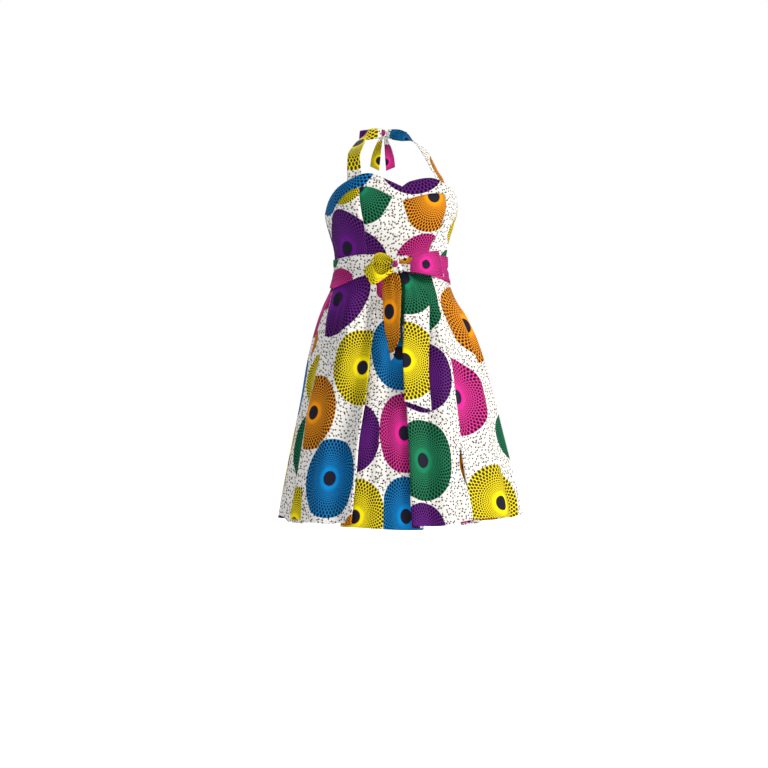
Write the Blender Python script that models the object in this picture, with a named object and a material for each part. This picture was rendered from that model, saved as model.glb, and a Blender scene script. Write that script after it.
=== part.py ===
"""Halter dress in wax print cotton, standing in its worn form with nobody inside.

The frame is in metres with +Z up. The dress faces -Y, and its origin is at the nape, where the
halter holds it. Every cloth piece is a wall about a grid of middle points. Those points are read
from one general form, which is an ellipse at each height with two plain cups.
"""
import math
from collections import namedtuple

import bmesh
import bpy
from mathutils import Matrix, Vector

MM = 0.001

CLOTH = 1.5              # thickness of a cloth wall
SEAM = 0.25              # how far a panel's middle line stops short of its seam
SIDE_SEAM = 88.0         # angle of the side seams, from the front
BACK_SEAM = 180.0        # angle of the centre back seam
SWEETHEART = 2.0         # angle of the point of the neckline
WAIST = -338.0           # height of the waist seam
BACK_TOP_SIDE = -217.0   # top edge of the back at the side seam
BACK_TOP_CENTRE = -236.0
BAND_SIDE = -258.0       # height at which the neckline band meets the side seam

CENTRE_COLUMNS = 10
SIDE_COLUMNS = 8
BACK_COLUMNS = 8
BODICE_ROWS = 7
BAND_ROWS = 3

CUP_REACH = 30.0
CUP_ANGLE = 37.0
CUP_SPREAD = 20.0
CUP_HEIGHT = -200.0
CUP_FALL_ABOVE = 62.0
CUP_FALL_BELOW = 38.0

LAYER_AT_WAIST = 3.2     # between the layers of a pleat
LAYER_AT_HEM = 8.0
TUCK_AT_WAIST = 15.0     # how far a pleat's layers run behind its fold
TUCK_AT_HEM = 27.0
UNDERLAY_DROP = 9.0      # how far the hidden layers hang below the folds
SKIRT_ROWS = (0.0, 0.06, 0.13, 0.21, 0.31, 0.43, 0.56, 0.7, 0.85, 1.0)
PANEL_STEPS = 5
TURN_STEPS = 2

SASH_OUT = 3.4           # middle of the sash beyond the form
KNOT_CENTRE = Vector((-9.0, -188.0, -347.0))
KNOT_HALF = Vector((11.0, 10.0, 22.0))
NECK_KNOT_CENTRE = Vector((0.0, 11.0, -2.0))
NECK_KNOT_HALF = Vector((8.5, 7.5, 13.0))

ZIP_TOP = -237.0
ZIP_BOTTOM = -520.0
ZIP_HALF_WIDTH = 11.0
ZIP_DEPTH = 3.6
SLIDER_WIDTH = 7.0
SLIDER_LENGTH = 9.0
SLIDER_BASE = 1.6
SLIDER_CLEAR = 0.5       # between the slider and the cloth it rides on
LUG_WIDTH = 1.2
LUG_HEIGHT = 3.0
PIVOT_BELOW = 2.0        # pull tab's axis below the top of the slider
PIVOT_RADIUS = 0.8
TAB_LENGTH = 17.0
TAB_WIDTH = 4.4
TAB_WALL = 1.0

Ring = namedtuple("Ring", "height centre_x centre_y half_width front back")
FORM = (
    Ring(-985, 26, -70, 309, 229, 236), Ring(-935, 25, -70, 299, 221, 228),
    Ring(-846, 23, -70, 279, 207, 214), Ring(-758, 21, -70, 258, 192, 198),
    Ring(-669, 19, -70, 237, 176, 181), Ring(-581, 15, -70, 217, 158, 163),
    Ring(-522, 12, -70, 200, 145, 148), Ring(-472, 8, -70, 181, 131, 133),
    Ring(-433, 5, -71, 163, 118, 118), Ring(-399, 3, -73, 150, 106, 104),
    Ring(-372, 2, -74, 141, 96, 92), Ring(-354, 2, -74, 138, 92, 88),
    Ring(-330, 1, -74, 138, 92, 88), Ring(-300, 1, -73, 141, 96, 91),
    Ring(-271, 0, -72, 148, 104, 97), Ring(-239, 0, -71, 157, 113, 102),
    Ring(-207, 0, -70, 162, 116, 104), Ring(-165, 0, -70, 161, 112, 101),
    Ring(-143, 0, -70, 158, 106, 98), Ring(-100, 0, -70, 148, 94, 92),
)

Edge = namedtuple("Edge", "angle height")
NECKLINE_LEFT = (
    Edge(-88, -217), Edge(-81, -211), Edge(-66, -184), Edge(-54, -163), Edge(-45, -149),
    Edge(-39, -141), Edge(-32, -131), Edge(-27, -128.5), Edge(-22, -130), Edge(-10, -144),
    Edge(SWEETHEART, -160),
)
NECKLINE_RIGHT = (
    Edge(SWEETHEART, -160), Edge(7, -149), Edge(13, -143), Edge(20, -138), Edge(27, -136),
    Edge(32, -138), Edge(37, -145), Edge(45, -156), Edge(54, -171), Edge(66, -190),
    Edge(80, -208), Edge(88, -217),
)
BAND_LOW_LEFT = (
    Edge(-88, BAND_SIDE), Edge(-75, -240), Edge(-61, -217), Edge(-52, -199), Edge(-45, -182),
    Edge(-39, -170), Edge(-32, -163.5), Edge(-26, -162), Edge(-19, -167), Edge(-8, -183),
    Edge(SWEETHEART, -194),
)
BAND_LOW_RIGHT = (
    Edge(SWEETHEART, -194), Edge(8, -188), Edge(16, -181), Edge(24, -175), Edge(32, -173),
    Edge(38, -175), Edge(45, -183), Edge(54, -200), Edge(64, -220), Edge(76, -242),
    Edge(88, BAND_SIDE),
)
Princess = namedtuple("Princess", "height left right")
PRINCESS = (
    Princess(-345, -33, 33), Princess(-300, -32, 35), Princess(-263, -31, 40.5),
    Princess(-236, -30.5, 38), Princess(-206, -30.5, 36.5), Princess(-160, -32, 36),
)

# A fold's front_side is +1 where the panel on its -X side lies on top, and -1 where the other does.
Fold = namedtuple("Fold", "front_side waist middle hem")
FRONT_FOLDS = (Fold(-1, -73.0, -68.0, -67.0), Fold(1, -26.0, -26.0, -30.0), Fold(-1, 1.0, -1.5, -2.5),
               Fold(1, 26.5, 28.5, 25.5), Fold(-1, 28.0, 29.7, 27.5))
RIGHT_BACK_FOLDS = (Fold(1, 113.0, 115.0, 114.0), Fold(-1, 137.0, 139.0, 141.0))
LEFT_BACK_FOLDS = (Fold(1, -139.0, -138.0, -143.0), Fold(-1, -112.0, -113.0, -115.0))
FOLD_MIDDLE = 0.42       # share of the skirt's length at which a fold's middle angle is read

# A valley is the depth, at the hem, to which the middle of each panel sinks between its folds.
FRONT_VALLEYS = (4.0, 15.0, 2.0, 13.0, 0.0, 10.0)
RIGHT_BACK_VALLEYS = (9.0, 3.0, 12.0)
LEFT_BACK_VALLEYS = (12.0, 3.0, 8.0)

Hem = namedtuple("Hem", "angle height")
HEM = (Hem(-180, -976), Hem(-130, -970), Hem(-88, -947), Hem(-60, -949), Hem(-30, -952), Hem(0, -958),
       Hem(30, -948), Hem(60, -949), Hem(88, -953), Hem(130, -970), Hem(180, -976))

Sash = namedtuple("Sash", "angle top bottom")
SASH = (Sash(-180, -322, -384), Sash(-110, -326, -394), Sash(-75, -327, -398), Sash(-55, -323, -388),
        Sash(-40, -320, -374), Sash(-12, -320, -362), Sash(8, -322, -364), Sash(30, -318, -368),
        Sash(75, -318, -384), Sash(110, -320, -386), Sash(180, -322, -384))

# Ribbons are given by their two edges: one station for each bend, in the frame's millimetres.
Station = namedtuple("Station", "ax ay az bx by bz")
STRAP_LEFT = (
    Station(-88, -164, -152, -121, -153, -156), Station(-88, -160, -122, -120, -148, -124),
    Station(-90, -152, -86, -117, -137, -86), Station(-79, -128, -60, -109, -112, -68),
    Station(-63, -85, -32, -87, -72, -41), Station(-52, -46, -7, -65, -34, -22),
    Station(-37, -16, 6, -43, -6, -20), Station(-12, -3, 10, -13, 3, -13),
)
STRAP_RIGHT = (
    Station(98, -163, -154, 122, -154, -160), Station(95, -158, -132, 116, -146, -134),
    Station(85, -150, -110, 106, -132, -112), Station(77, -132, -86, 98, -112, -85),
    Station(68, -107, -58, 89, -87, -56), Station(57, -72, -30, 74, -58, -37),
    Station(50, -42, -8, 61, -32, -24), Station(36, -16, 6, 42, -6, -20), Station(12, -3, 10, 13, 3, -13),
)
BOW_LOOP_LEFT = (
    Station(-23, -200, -336, -22, -186, -330), Station(-44, -210, -333, -43, -179, -315),
    Station(-63, -213, -342, -69, -178, -327), Station(-67, -212, -358, -81, -178, -356),
    Station(-55, -209, -371, -68, -181, -393), Station(-39, -203, -362, -41, -184, -377),
    Station(-23, -196, -353, -22, -188, -362),
)
BOW_LOOP_RIGHT = (
    Station(5, -196, -330, 5, -197, -364), Station(30, -208, -327, 30, -209, -365),
    Station(64, -205, -316, 66, -207, -370), Station(93, -188, -311, 104, -188, -373),
    Station(97, -171, -313, 107, -169, -371), Station(64, -178, -320, 66, -178, -366),
    Station(32, -184, -331, 32, -184, -360), Station(5, -186, -337, 5, -186, -356),
)
NECK_LOOP = (
    Station(11, 13, 8, 11, 13, -12), Station(30, 22, 11, 31, 23, -14),
    Station(50, 22, 8, 52, 22, -16), Station(60, 14, 5, 62, 13, -15),
    Station(52, 7.5, 6, 53, 7, -14), Station(32, 9.5, 8, 33, 9.5, -13),
    Station(11, 9, 5, 11, 9, -10),
)
Tail = namedtuple("Tail", "height left right out")
TAIL_SHORT = (
    Tail(-575, -11.5, -10.5, 7), Tail(-550, -12.5, -8.2, 7), Tail(-503, -15, -6, 7), Tail(-430, -16, -1.6, 8),
    Tail(-395, -17, -0.6, 10), Tail(-372, -14, -3, 13),
)
TAIL_LONG = (
    Tail(-672, -5, 10, 7), Tail(-600, -4.5, 11, 7), Tail(-550, -4, 13, 7), Tail(-480, -1, 18, 7),
    Tail(-429, 1.6, 23, 8), Tail(-395, 3, 20, 10), Tail(-372, 2.5, 9, 13),
)
TAIL_LONG_SLANT = 21.0   # how much lower the long tail's right corner is
NECK_TAIL = (
    Station(3, 17, -17, 14, 15, -17), Station(4, 22, -35, 21, 20, -35),
    Station(6, 24, -60, 29, 22, -59), Station(9, 25, -92, 32, 24, -82),
)


def interpolate(table, at):
    """Every column after the first, smoothly, at a value of the first, which rises down the table."""
    at = min(max(at, table[0][0]), table[-1][0])
    start = next(i for i in range(len(table) - 1) if at <= table[i + 1][0])
    before, low = table[max(start - 1, 0)], table[start]
    high, after = table[start + 1], table[min(start + 2, len(table) - 1)]
    step = high[0] - low[0]
    s = (at - low[0]) / step
    values = []
    for column in range(1, len(low)):
        slope_low = (high[column] - before[column]) / (high[0] - before[0]) * step
        slope_high = (after[column] - low[column]) / (after[0] - low[0]) * step
        values.append((2 * s**3 - 3 * s**2 + 1) * low[column] + (s**3 - 2 * s**2 + s) * slope_low
                      + (3 * s**2 - 2 * s**3) * high[column] + (s**3 - s**2) * slope_high)
    return values


def mix(start, end, share):
    """A value part of the way from start to end."""
    return start + (end - start) * share


def cup(angle, height):
    """How far the two cups stand out from the form."""
    fall = CUP_FALL_ABOVE if height > CUP_HEIGHT else CUP_FALL_BELOW
    rise = math.exp(-((height - CUP_HEIGHT) / fall) ** 2 / 2)
    across = sum(math.exp(-((angle - side * CUP_ANGLE) / CUP_SPREAD) ** 2 / 2) for side in (-1, 1))
    return CUP_REACH * rise * across


def form(angle, height):
    """The general form: an ellipse at each height, deeper at the front than at the back."""
    centre_x, centre_y, half_width, front, back = interpolate(FORM, height)
    turn = math.radians(angle)
    depth = front if math.cos(turn) > 0 else back
    reach = cup(angle, height) if height > WAIST else 0.0
    return Vector((centre_x + (half_width + reach) * math.sin(turn),
                   centre_y - (depth + reach) * math.cos(turn), height))


def place(angle, height, out):
    """A point beyond the form, squarely out from its surface."""
    along = form(angle + 0.5, height) - form(angle - 0.5, height)
    up = form(angle, height + 1.0) - form(angle, height - 1.0)
    return form(angle, height) + along.cross(up).normalized() * out


def degrees_of(length, angle, height):
    """The angle that a length takes up on the form."""
    return length / (form(angle + 0.5, height) - form(angle - 0.5, height)).length


def material(name, colour, metallic=0.0):
    """A Principled material for one sub-part."""
    paint = bpy.data.materials.new(name)
    paint.use_nodes = True
    shader = paint.node_tree.nodes["Principled BSDF"]
    shader.inputs["Base Color"].default_value = (*colour, 1.0)
    shader.inputs["Roughness"].default_value = 0.35 if metallic else 0.8
    shader.inputs["Metallic"].default_value = metallic
    paint.diffuse_color = (*colour, 1.0)
    return paint


def finish(name, mesh, colour, metallic=0.0, parent=None, origin=Vector()):
    """Turn a bmesh in millimetres into a named object whose origin is the one given."""
    bmesh.ops.transform(mesh, matrix=Matrix.Scale(MM, 4) @ Matrix.Translation(-origin), verts=mesh.verts)
    bmesh.ops.recalc_face_normals(mesh, faces=mesh.faces)
    data = bpy.data.meshes.new(name)
    mesh.to_mesh(data)
    mesh.free()
    data.shade_smooth()
    data.set_sharp_from_angle(angle=math.radians(35))
    data.materials.append(material(name + "_material", colour, metallic))
    thing = bpy.data.objects.new(name, data)
    bpy.context.collection.objects.link(thing)
    if parent:
        thing.parent = parent
    else:
        thing.location = origin * MM
    return thing


def cloth(name, rows, colour, wall=CLOTH, ring=False):
    """A closed cloth wall about rows of middle points, joined end to end where it is a ring."""
    if ring:
        rows = [row + row[:1] for row in rows]
    across, along = len(rows[0]), len(rows)

    def middle(column, row):
        return rows[row][column % (across - 1)] if ring else rows[row][min(max(column, 0), across - 1)]

    def side(column, row, out):
        u = middle(column + 1, row) - middle(column - 1, row)
        v = rows[min(row + 1, along - 1)][column] - rows[max(row - 1, 0)][column]
        return rows[row][column] + u.cross(v).normalized() * out

    mesh = bmesh.new()
    bmesh.ops.create_grid(mesh, x_segments=across - 1, y_segments=along - 1, size=1.0)
    place_of = mesh.verts.layers.int.new("place")
    for index, vertex in enumerate(mesh.verts):
        vertex[place_of] = index
        vertex.co = side(index % across, index // across, wall / 2)
    if ring:
        bmesh.ops.remove_doubles(mesh, verts=mesh.verts, dist=0.0001)
    outer = set(mesh.verts)
    bmesh.ops.extrude_face_region(mesh, geom=mesh.faces[:])
    for vertex in mesh.verts:
        if vertex not in outer:
            vertex.co = side(vertex[place_of] % across, vertex[place_of] // across, -wall / 2)
    return finish(name, mesh, colour)


def panel(left, right, bottom, top, columns):
    """Middle points of a bodice panel between two seams and two edges, bottom row first."""
    points = []
    for row in range(BODICE_ROWS + 1):
        line = []
        for column in range(columns + 1):
            angle, height = panel_spot(left, right, bottom, top, column / columns, row / BODICE_ROWS)
            inset = SEAM * (1 if column == 0 else -1 if column == columns else 0)
            line.append(place(angle + degrees_of(inset, angle, height), height, 0.0))
        points.append(line)
    return points


def panel_spot(left, right, bottom, top, across, up):
    """Angle and height of a spot in a panel, given as shares of its width and its height."""
    height = mix(WAIST, -180.0, up)
    for _ in range(6):
        angle = mix(left(height), right(height), across)
        height = mix(bottom(angle), top(angle), up)
    return angle, height


def band_low(angle):
    """Lower edge of the neckline band."""
    return interpolate(BAND_LOW_LEFT if angle < SWEETHEART else BAND_LOW_RIGHT, angle)[0]


def neckline(angle):
    """The sweetheart edge."""
    return interpolate(NECKLINE_LEFT if angle < SWEETHEART else NECKLINE_RIGHT, angle)[0]


def back_top(angle):
    """Top edge of the back, which dips to the centre."""
    share = (abs(angle) - SIDE_SEAM) / (BACK_SEAM - SIDE_SEAM)
    return mix(BACK_TOP_SIDE, BACK_TOP_CENTRE, math.sin(share * math.pi / 2))


def bodice():
    """Three front panels, the neckline band above them, and the two backs."""
    def waist(_):
        return WAIST + SEAM

    def under_band(angle):
        return band_low(angle) - SEAM

    def princess(side):
        return lambda height: interpolate(PRINCESS, height)[side]

    def level(angle):
        return lambda height: angle

    fronts = (("left", level(-SIDE_SEAM), princess(0), SIDE_COLUMNS, (0.15, 0.03, 0.25)),
              ("center", princess(0), princess(1), CENTRE_COLUMNS, (0.75, 0.74, 0.7)),
              ("right", princess(1), level(SIDE_SEAM), SIDE_COLUMNS, (0.7, 0.68, 0.4)))
    band_angles = []
    for word, start, end, columns, colour in fronts:
        name = "bodice_front_center" if word == "center" else "bodice_front_side_" + word
        cloth(name, panel(start, end, waist, under_band, columns), colour)
        first = 1 if band_angles else 0
        band_angles += [panel_spot(start, end, waist, band_low, column / columns, 1.0)[0]
                        for column in range(first, columns + 1)]
    band_angles[0] += degrees_of(SEAM, -SIDE_SEAM, BAND_SIDE)
    band_angles[-1] -= degrees_of(SEAM, SIDE_SEAM, BAND_SIDE)
    band = [[place(angle, mix(band_low(angle) + SEAM, neckline(angle), row / BAND_ROWS), 0.0)
             for angle in band_angles] for row in range(BAND_ROWS + 1)]
    cloth("neckline_band", band, (0.1, 0.2, 0.6))
    cloth("bodice_back_left", panel(level(-BACK_SEAM), level(-SIDE_SEAM), waist, back_top, BACK_COLUMNS),
          (0.75, 0.74, 0.7))
    cloth("bodice_back_right", panel(level(SIDE_SEAM), level(BACK_SEAM), waist, back_top, BACK_COLUMNS),
          (0.75, 0.74, 0.7))


def fold_angle(fold, share):
    """Angle of a fold at a share of the skirt's length."""
    table = ((0.0, fold.waist), (FOLD_MIDDLE, fold.middle), (1.0, fold.hem))
    return interpolate(table, share)[0]


def section(folds, valleys, start, end, share):
    """One level of the skirt as pairs of angle and depth: panels, and the layers tucked between them."""
    layer = mix(LAYER_AT_WAIST, LAYER_AT_HEM, share)
    tuck = mix(TUCK_AT_WAIST, TUCK_AT_HEM, share)
    height = mix(WAIST, -950.0, share)
    path, begin, begin_depth = [], start, 0.0
    for number, valley in enumerate(valleys):
        last = number == len(folds)
        line = end if last else fold_angle(folds[number], share)
        over = last or folds[number].front_side > 0
        hidden = 0.0 if last else degrees_of(tuck, line, height)
        finish_at = line if over else line + hidden
        finish_depth = 0.0 if over else 2 * layer
        for step in range(PANEL_STEPS + 1):
            s = step / PANEL_STEPS
            ease = s * s * (3 - 2 * s)
            depth = mix(begin_depth, finish_depth, ease) + valley * share * math.sin(math.pi * s) ** 2
            path.append((mix(begin, finish_at, s), depth))
        if last:
            break
        near, far = (line, line - hidden) if over else (line + hidden, line)
        turn_depth = (layer / 2, 3 * layer / 2) if over else (3 * layer / 2, layer / 2)
        way = 1 if over else -1
        for spot, centre, bulge in ((near, turn_depth[0], 1), (far, turn_depth[1], -1)):
            reach = degrees_of(layer / 2, line, height)
            for step in range(1, TURN_STEPS + 1):
                swing = math.pi * (step / (TURN_STEPS + 1) - 0.5)
                path.append((spot + bulge * reach * math.cos(swing), centre + way * layer / 2 * math.sin(swing)))
            if bulge > 0:
                path += [(near, layer), (far, layer)]
        begin, begin_depth = far, 2 * layer if over else 0.0
    return path


def skirt(name, folds, valleys, start, end, colour):
    """A pleated piece of the skirt, whose hidden layers hang a little lower."""
    rows = []
    for share in reversed(SKIRT_ROWS):
        layer = mix(LAYER_AT_WAIST, LAYER_AT_HEM, share)
        line = []
        for angle, depth in section(folds, valleys, start, end, share):
            hem = interpolate(HEM, angle)[0] - UNDERLAY_DROP * min(depth / (2 * layer), 1.0)
            line.append(place(angle, mix(WAIST - SEAM, hem, share), -depth))
        rows.append(line)
    cloth(name, rows, colour)


def skirts():
    """The skirt: a front in one piece and two backs."""
    gap = SEAM / 2
    skirt("skirt_front", FRONT_FOLDS, FRONT_VALLEYS, -SIDE_SEAM + gap, SIDE_SEAM - gap, (0.75, 0.55, 0.1))
    skirt("skirt_back_right", RIGHT_BACK_FOLDS, RIGHT_BACK_VALLEYS, SIDE_SEAM + gap, BACK_SEAM - gap,
          (0.1, 0.4, 0.7))
    skirt("skirt_back_left", LEFT_BACK_FOLDS, LEFT_BACK_VALLEYS, -BACK_SEAM + gap, -SIDE_SEAM - gap,
          (0.05, 0.35, 0.2))


def sash():
    """The sash round the waist, closed behind its knot."""
    steps, levels = 40, 3
    rows = []
    for level in range(levels + 1):
        line = []
        for step in range(steps):
            angle = -180.0 + 360.0 * step / steps
            top, bottom = interpolate(SASH, angle)
            swell = 1.2 * math.sin(math.pi * level / levels)
            line.append(place(angle, mix(bottom, top, level / levels), SASH_OUT + swell))
        rows.append(line)
    cloth("sash_wrap", rows, (0.75, 0.08, 0.35), ring=True)


def knot(name, centre, half, colour):
    """A knot pulled tight: an egg of cloth, flattened at its back."""
    mesh = bmesh.new()
    bmesh.ops.create_uvsphere(mesh, u_segments=12, v_segments=7, radius=1.0)
    bmesh.ops.transform(mesh, matrix=Matrix.Translation(centre) @ Matrix.Diagonal((*half, 1.0)),
                        verts=mesh.verts)
    return finish(name, mesh, colour)


def ribbon(name, stations, colour, columns=2, steps=2, side=1, bow=2.0):
    """A strip of cloth between two edges given by stations; side -1 makes it for the other side."""
    table = [(index, *station) for index, station in enumerate(stations)]
    count = (len(stations) - 1) * steps
    rows = []
    for row in range(count + 1):
        values = interpolate(table, row / steps)
        first, second = Vector(values[:3]), Vector(values[3:])
        ahead = interpolate(table, min(row / steps + 0.2, len(stations) - 1))
        behind = interpolate(table, max(row / steps - 0.2, 0))
        along = Vector(ahead[:3]) - Vector(behind[:3])
        out = (second - first).cross(along).normalized()
        line = []
        for column in range(columns + 1):
            across = column / columns
            point = first.lerp(second, across) + out * bow * math.sin(math.pi * across)
            line.append(Vector((point.x * side, point.y, point.z)))
        rows.append(line if side > 0 else line[::-1])
    return cloth(name, rows, colour)


def tail(name, stations, colour, slant, columns=3, steps=2):
    """A sash end lying on the skirt, between two angles at each height."""
    bottom, top = stations[0].height, stations[-1].height
    count = (len(stations) - 1) * steps
    rows = []
    for row in range(count + 1):
        height = mix(bottom, top, row / count)
        left, right, out = interpolate(stations, height)
        line = []
        for column in range(columns + 1):
            across = column / columns
            lower = slant * across * (1 - row / count)
            line.append(place(mix(left, right, across), height - lower, out + 1.5 * math.sin(math.pi * across)))
        rows.append(line)
    cloth(name, rows, colour)


def bow():
    """The bow at the front of the sash."""
    knot("sash_knot", KNOT_CENTRE, KNOT_HALF, (0.8, 0.78, 0.75))
    ribbon("sash_loop_left", BOW_LOOP_LEFT, (0.75, 0.65, 0.05), bow=0.0, steps=3)
    ribbon("sash_loop_right", BOW_LOOP_RIGHT, (0.75, 0.08, 0.35), bow=0.0)
    tail("sash_tail_short", TAIL_SHORT, (0.85, 0.3, 0.02), 0.0)
    tail("sash_tail_long", TAIL_LONG, (0.8, 0.72, 0.05), TAIL_LONG_SLANT)


def halter():
    """Two straps that pass over the shoulders and tie in a bow at the nape."""
    for word, side, strap, colour in (("left", -1, STRAP_LEFT, (0.8, 0.72, 0.05)),
                                      ("right", 1, STRAP_RIGHT, (0.8, 0.78, 0.75))):
        ribbon("halter_strap_" + word, strap, colour, bow=side * -1.0)
        ribbon("halter_loop_" + word, NECK_LOOP, (0.03, 0.02, 0.08), side=side, bow=0.0)
        ribbon("halter_tail_" + word, NECK_TAIL, colour, side=side, bow=1.0)
    knot("halter_knot", NECK_KNOT_CENTRE, NECK_KNOT_HALF, (0.8, 0.78, 0.75))


def zip_fastener():
    """The concealed zip of the centre back seam: its tape, its slider and its pull tab."""
    rows = []
    count = 10
    for row in range(count + 1):
        height = mix(ZIP_BOTTOM, ZIP_TOP - 2.0, row / count)
        spread = degrees_of(ZIP_HALF_WIDTH, BACK_SEAM, height)
        rows.append([place(BACK_SEAM + spread * across, height, -ZIP_DEPTH) for across in (-1, 0, 1)])
    cloth("zip_tape", rows, (0.6, 0.6, 0.58), wall=1.0)

    top = ZIP_TOP - 1.0
    skin = max(form(BACK_SEAM, top).y, form(BACK_SEAM, top - SLIDER_LENGTH).y) + CLOTH / 2 + SLIDER_CLEAR
    half = SLIDER_WIDTH / 2
    outline = [(-half, 0, 0), (half, 0, 0), (half, SLIDER_BASE, 0), (half, SLIDER_BASE + LUG_HEIGHT, 0),
               (half - LUG_WIDTH, SLIDER_BASE + LUG_HEIGHT, 0), (half - LUG_WIDTH, SLIDER_BASE, 0),
               (-half + LUG_WIDTH, SLIDER_BASE, 0), (-half + LUG_WIDTH, SLIDER_BASE + LUG_HEIGHT, 0),
               (-half, SLIDER_BASE + LUG_HEIGHT, 0), (-half, SLIDER_BASE, 0)]
    mesh = bmesh.new()
    face = mesh.faces.new([mesh.verts.new(point) for point in outline])
    made = bmesh.ops.extrude_face_region(mesh, geom=[face])["geom"]
    drop = Vector((0, 0, -SLIDER_LENGTH))
    bmesh.ops.translate(mesh, vec=drop, verts=[item for item in made if isinstance(item, bmesh.types.BMVert)])
    bmesh.ops.translate(mesh, vec=Vector((form(BACK_SEAM, top).x, skin, top)), verts=mesh.verts)
    finish("zip_slider", mesh, (0.6, 0.6, 0.62), 1.0)

    axis = Vector((form(BACK_SEAM, top).x, skin + SLIDER_BASE + LUG_HEIGHT - PIVOT_RADIUS, top - PIVOT_BELOW))
    hinge = bpy.data.objects.new("zip_pull_axis", None)
    hinge.location = axis * MM
    bpy.context.collection.objects.link(hinge)
    reach = half - LUG_WIDTH - 0.3
    mesh = bmesh.new()
    bmesh.ops.create_cone(mesh, cap_ends=True, segments=12, radius1=PIVOT_RADIUS, radius2=PIVOT_RADIUS,
                          depth=2 * reach)
    bmesh.ops.rotate(mesh, cent=Vector(), matrix=Matrix.Rotation(math.radians(90), 3, "Y"), verts=mesh.verts)
    bmesh.ops.translate(mesh, vec=axis, verts=mesh.verts)
    barrel = finish("zip_pull", mesh, (0.6, 0.6, 0.62), 1.0, parent=hinge, origin=axis)
    plate = bmesh.new()
    wide = TAB_WIDTH / 2
    neck = reach - 0.2
    low = -TAB_LENGTH
    shape = [(-neck, 0), (neck, 0), (neck, -8), (wide, -9.5), (wide, low + 1.5), (wide - 1, low),
             (1 - wide, low), (-wide, low + 1.5), (-wide, -9.5), (-neck, -8)]
    face = plate.faces.new([plate.verts.new((x, -TAB_WALL / 2, z)) for x, z in shape])
    made = bmesh.ops.extrude_face_region(plate, geom=[face])["geom"]
    bmesh.ops.translate(plate, vec=Vector((0, TAB_WALL, 0)),
                        verts=[item for item in made if isinstance(item, bmesh.types.BMVert)])
    bmesh.ops.translate(plate, vec=axis, verts=plate.verts)
    cutter = finish("zip_pull_plate", plate, (0.6, 0.6, 0.62), 1.0, parent=hinge, origin=axis)
    cutter.hide_render = True
    cutter.display_type = "WIRE"
    join = barrel.modifiers.new("join", "BOOLEAN")
    join.operation = "UNION"
    join.object = cutter


def main():
    """Build the dress."""
    for thing in list(bpy.data.objects):
        bpy.data.objects.remove(thing)
    bodice()
    skirts()
    sash()
    bow()
    halter()
    zip_fastener()


main()
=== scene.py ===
"""Wax print halter dress: the cloth, the bow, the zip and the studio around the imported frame."""
import math
from collections import namedtuple

import bmesh
import bpy
import numpy as np
from bpy.props import FloatProperty, FloatVectorProperty, PointerProperty
from mathutils import Matrix, Vector


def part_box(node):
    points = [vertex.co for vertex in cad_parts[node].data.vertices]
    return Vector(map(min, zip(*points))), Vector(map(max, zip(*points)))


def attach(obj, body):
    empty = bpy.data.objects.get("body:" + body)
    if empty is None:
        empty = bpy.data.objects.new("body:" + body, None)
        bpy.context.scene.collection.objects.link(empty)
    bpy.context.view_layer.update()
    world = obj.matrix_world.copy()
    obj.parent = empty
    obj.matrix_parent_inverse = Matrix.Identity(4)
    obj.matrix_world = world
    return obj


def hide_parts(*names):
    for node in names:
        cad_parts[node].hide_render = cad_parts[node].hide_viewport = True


bl_info = {
    "name": "Wax Print Halter Dress",
    "version": (1, 0, 0),
    "blender": (4, 5, 0),
    "location": "View3D > Sidebar > Dress",
    "description": "Builds a halter dress in wax print cotton around its packed frame",
    "category": "Add Mesh",
}

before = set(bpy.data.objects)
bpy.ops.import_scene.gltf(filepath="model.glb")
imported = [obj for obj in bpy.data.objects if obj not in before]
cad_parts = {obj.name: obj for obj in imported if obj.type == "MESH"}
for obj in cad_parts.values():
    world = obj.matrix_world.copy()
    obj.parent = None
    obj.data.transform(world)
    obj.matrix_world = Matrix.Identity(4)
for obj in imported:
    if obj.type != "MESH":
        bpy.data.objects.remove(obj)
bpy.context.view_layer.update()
BODY = "dress"
MM = 0.001

# ---------------------------------------------------------------- the cut, in millimetres

SIDE_SEAM = 88.0
BACK_SEAM = 180.0
SWEETHEART = 2.0
WAIST = -338.0
BACK_TOP_SIDE = -217.0
BACK_TOP_CENTRE = -236.0
BAND_SIDE = -258.0
SEAM = 0.2
SEAM_ROLL = 1.1          # how far a cloth edge turns in at a seam
SEAM_ROLL_WIDTH = 3.0

CUP_REACH = 30.0
CUP_ANGLE = 37.0
CUP_SPREAD = 20.0
CUP_HEIGHT = -200.0
CUP_FALL_ABOVE = 62.0
CUP_FALL_BELOW = 38.0

LAYER_AT_WAIST = 3.0
LAYER_AT_HEM = 8.0
TUCK_AT_WAIST = 15.0
TUCK_AT_HEM = 26.0
UNDERLAY_DROP = 9.0
SKIRT_SLOPE = 1.05       # cloth length for each length of height on the flared skirt
FOLD_MIDDLE = 0.42
TURN_STEPS = 5
TUCK_STEPS = 5

SASH_OUT = 3.4

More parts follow.
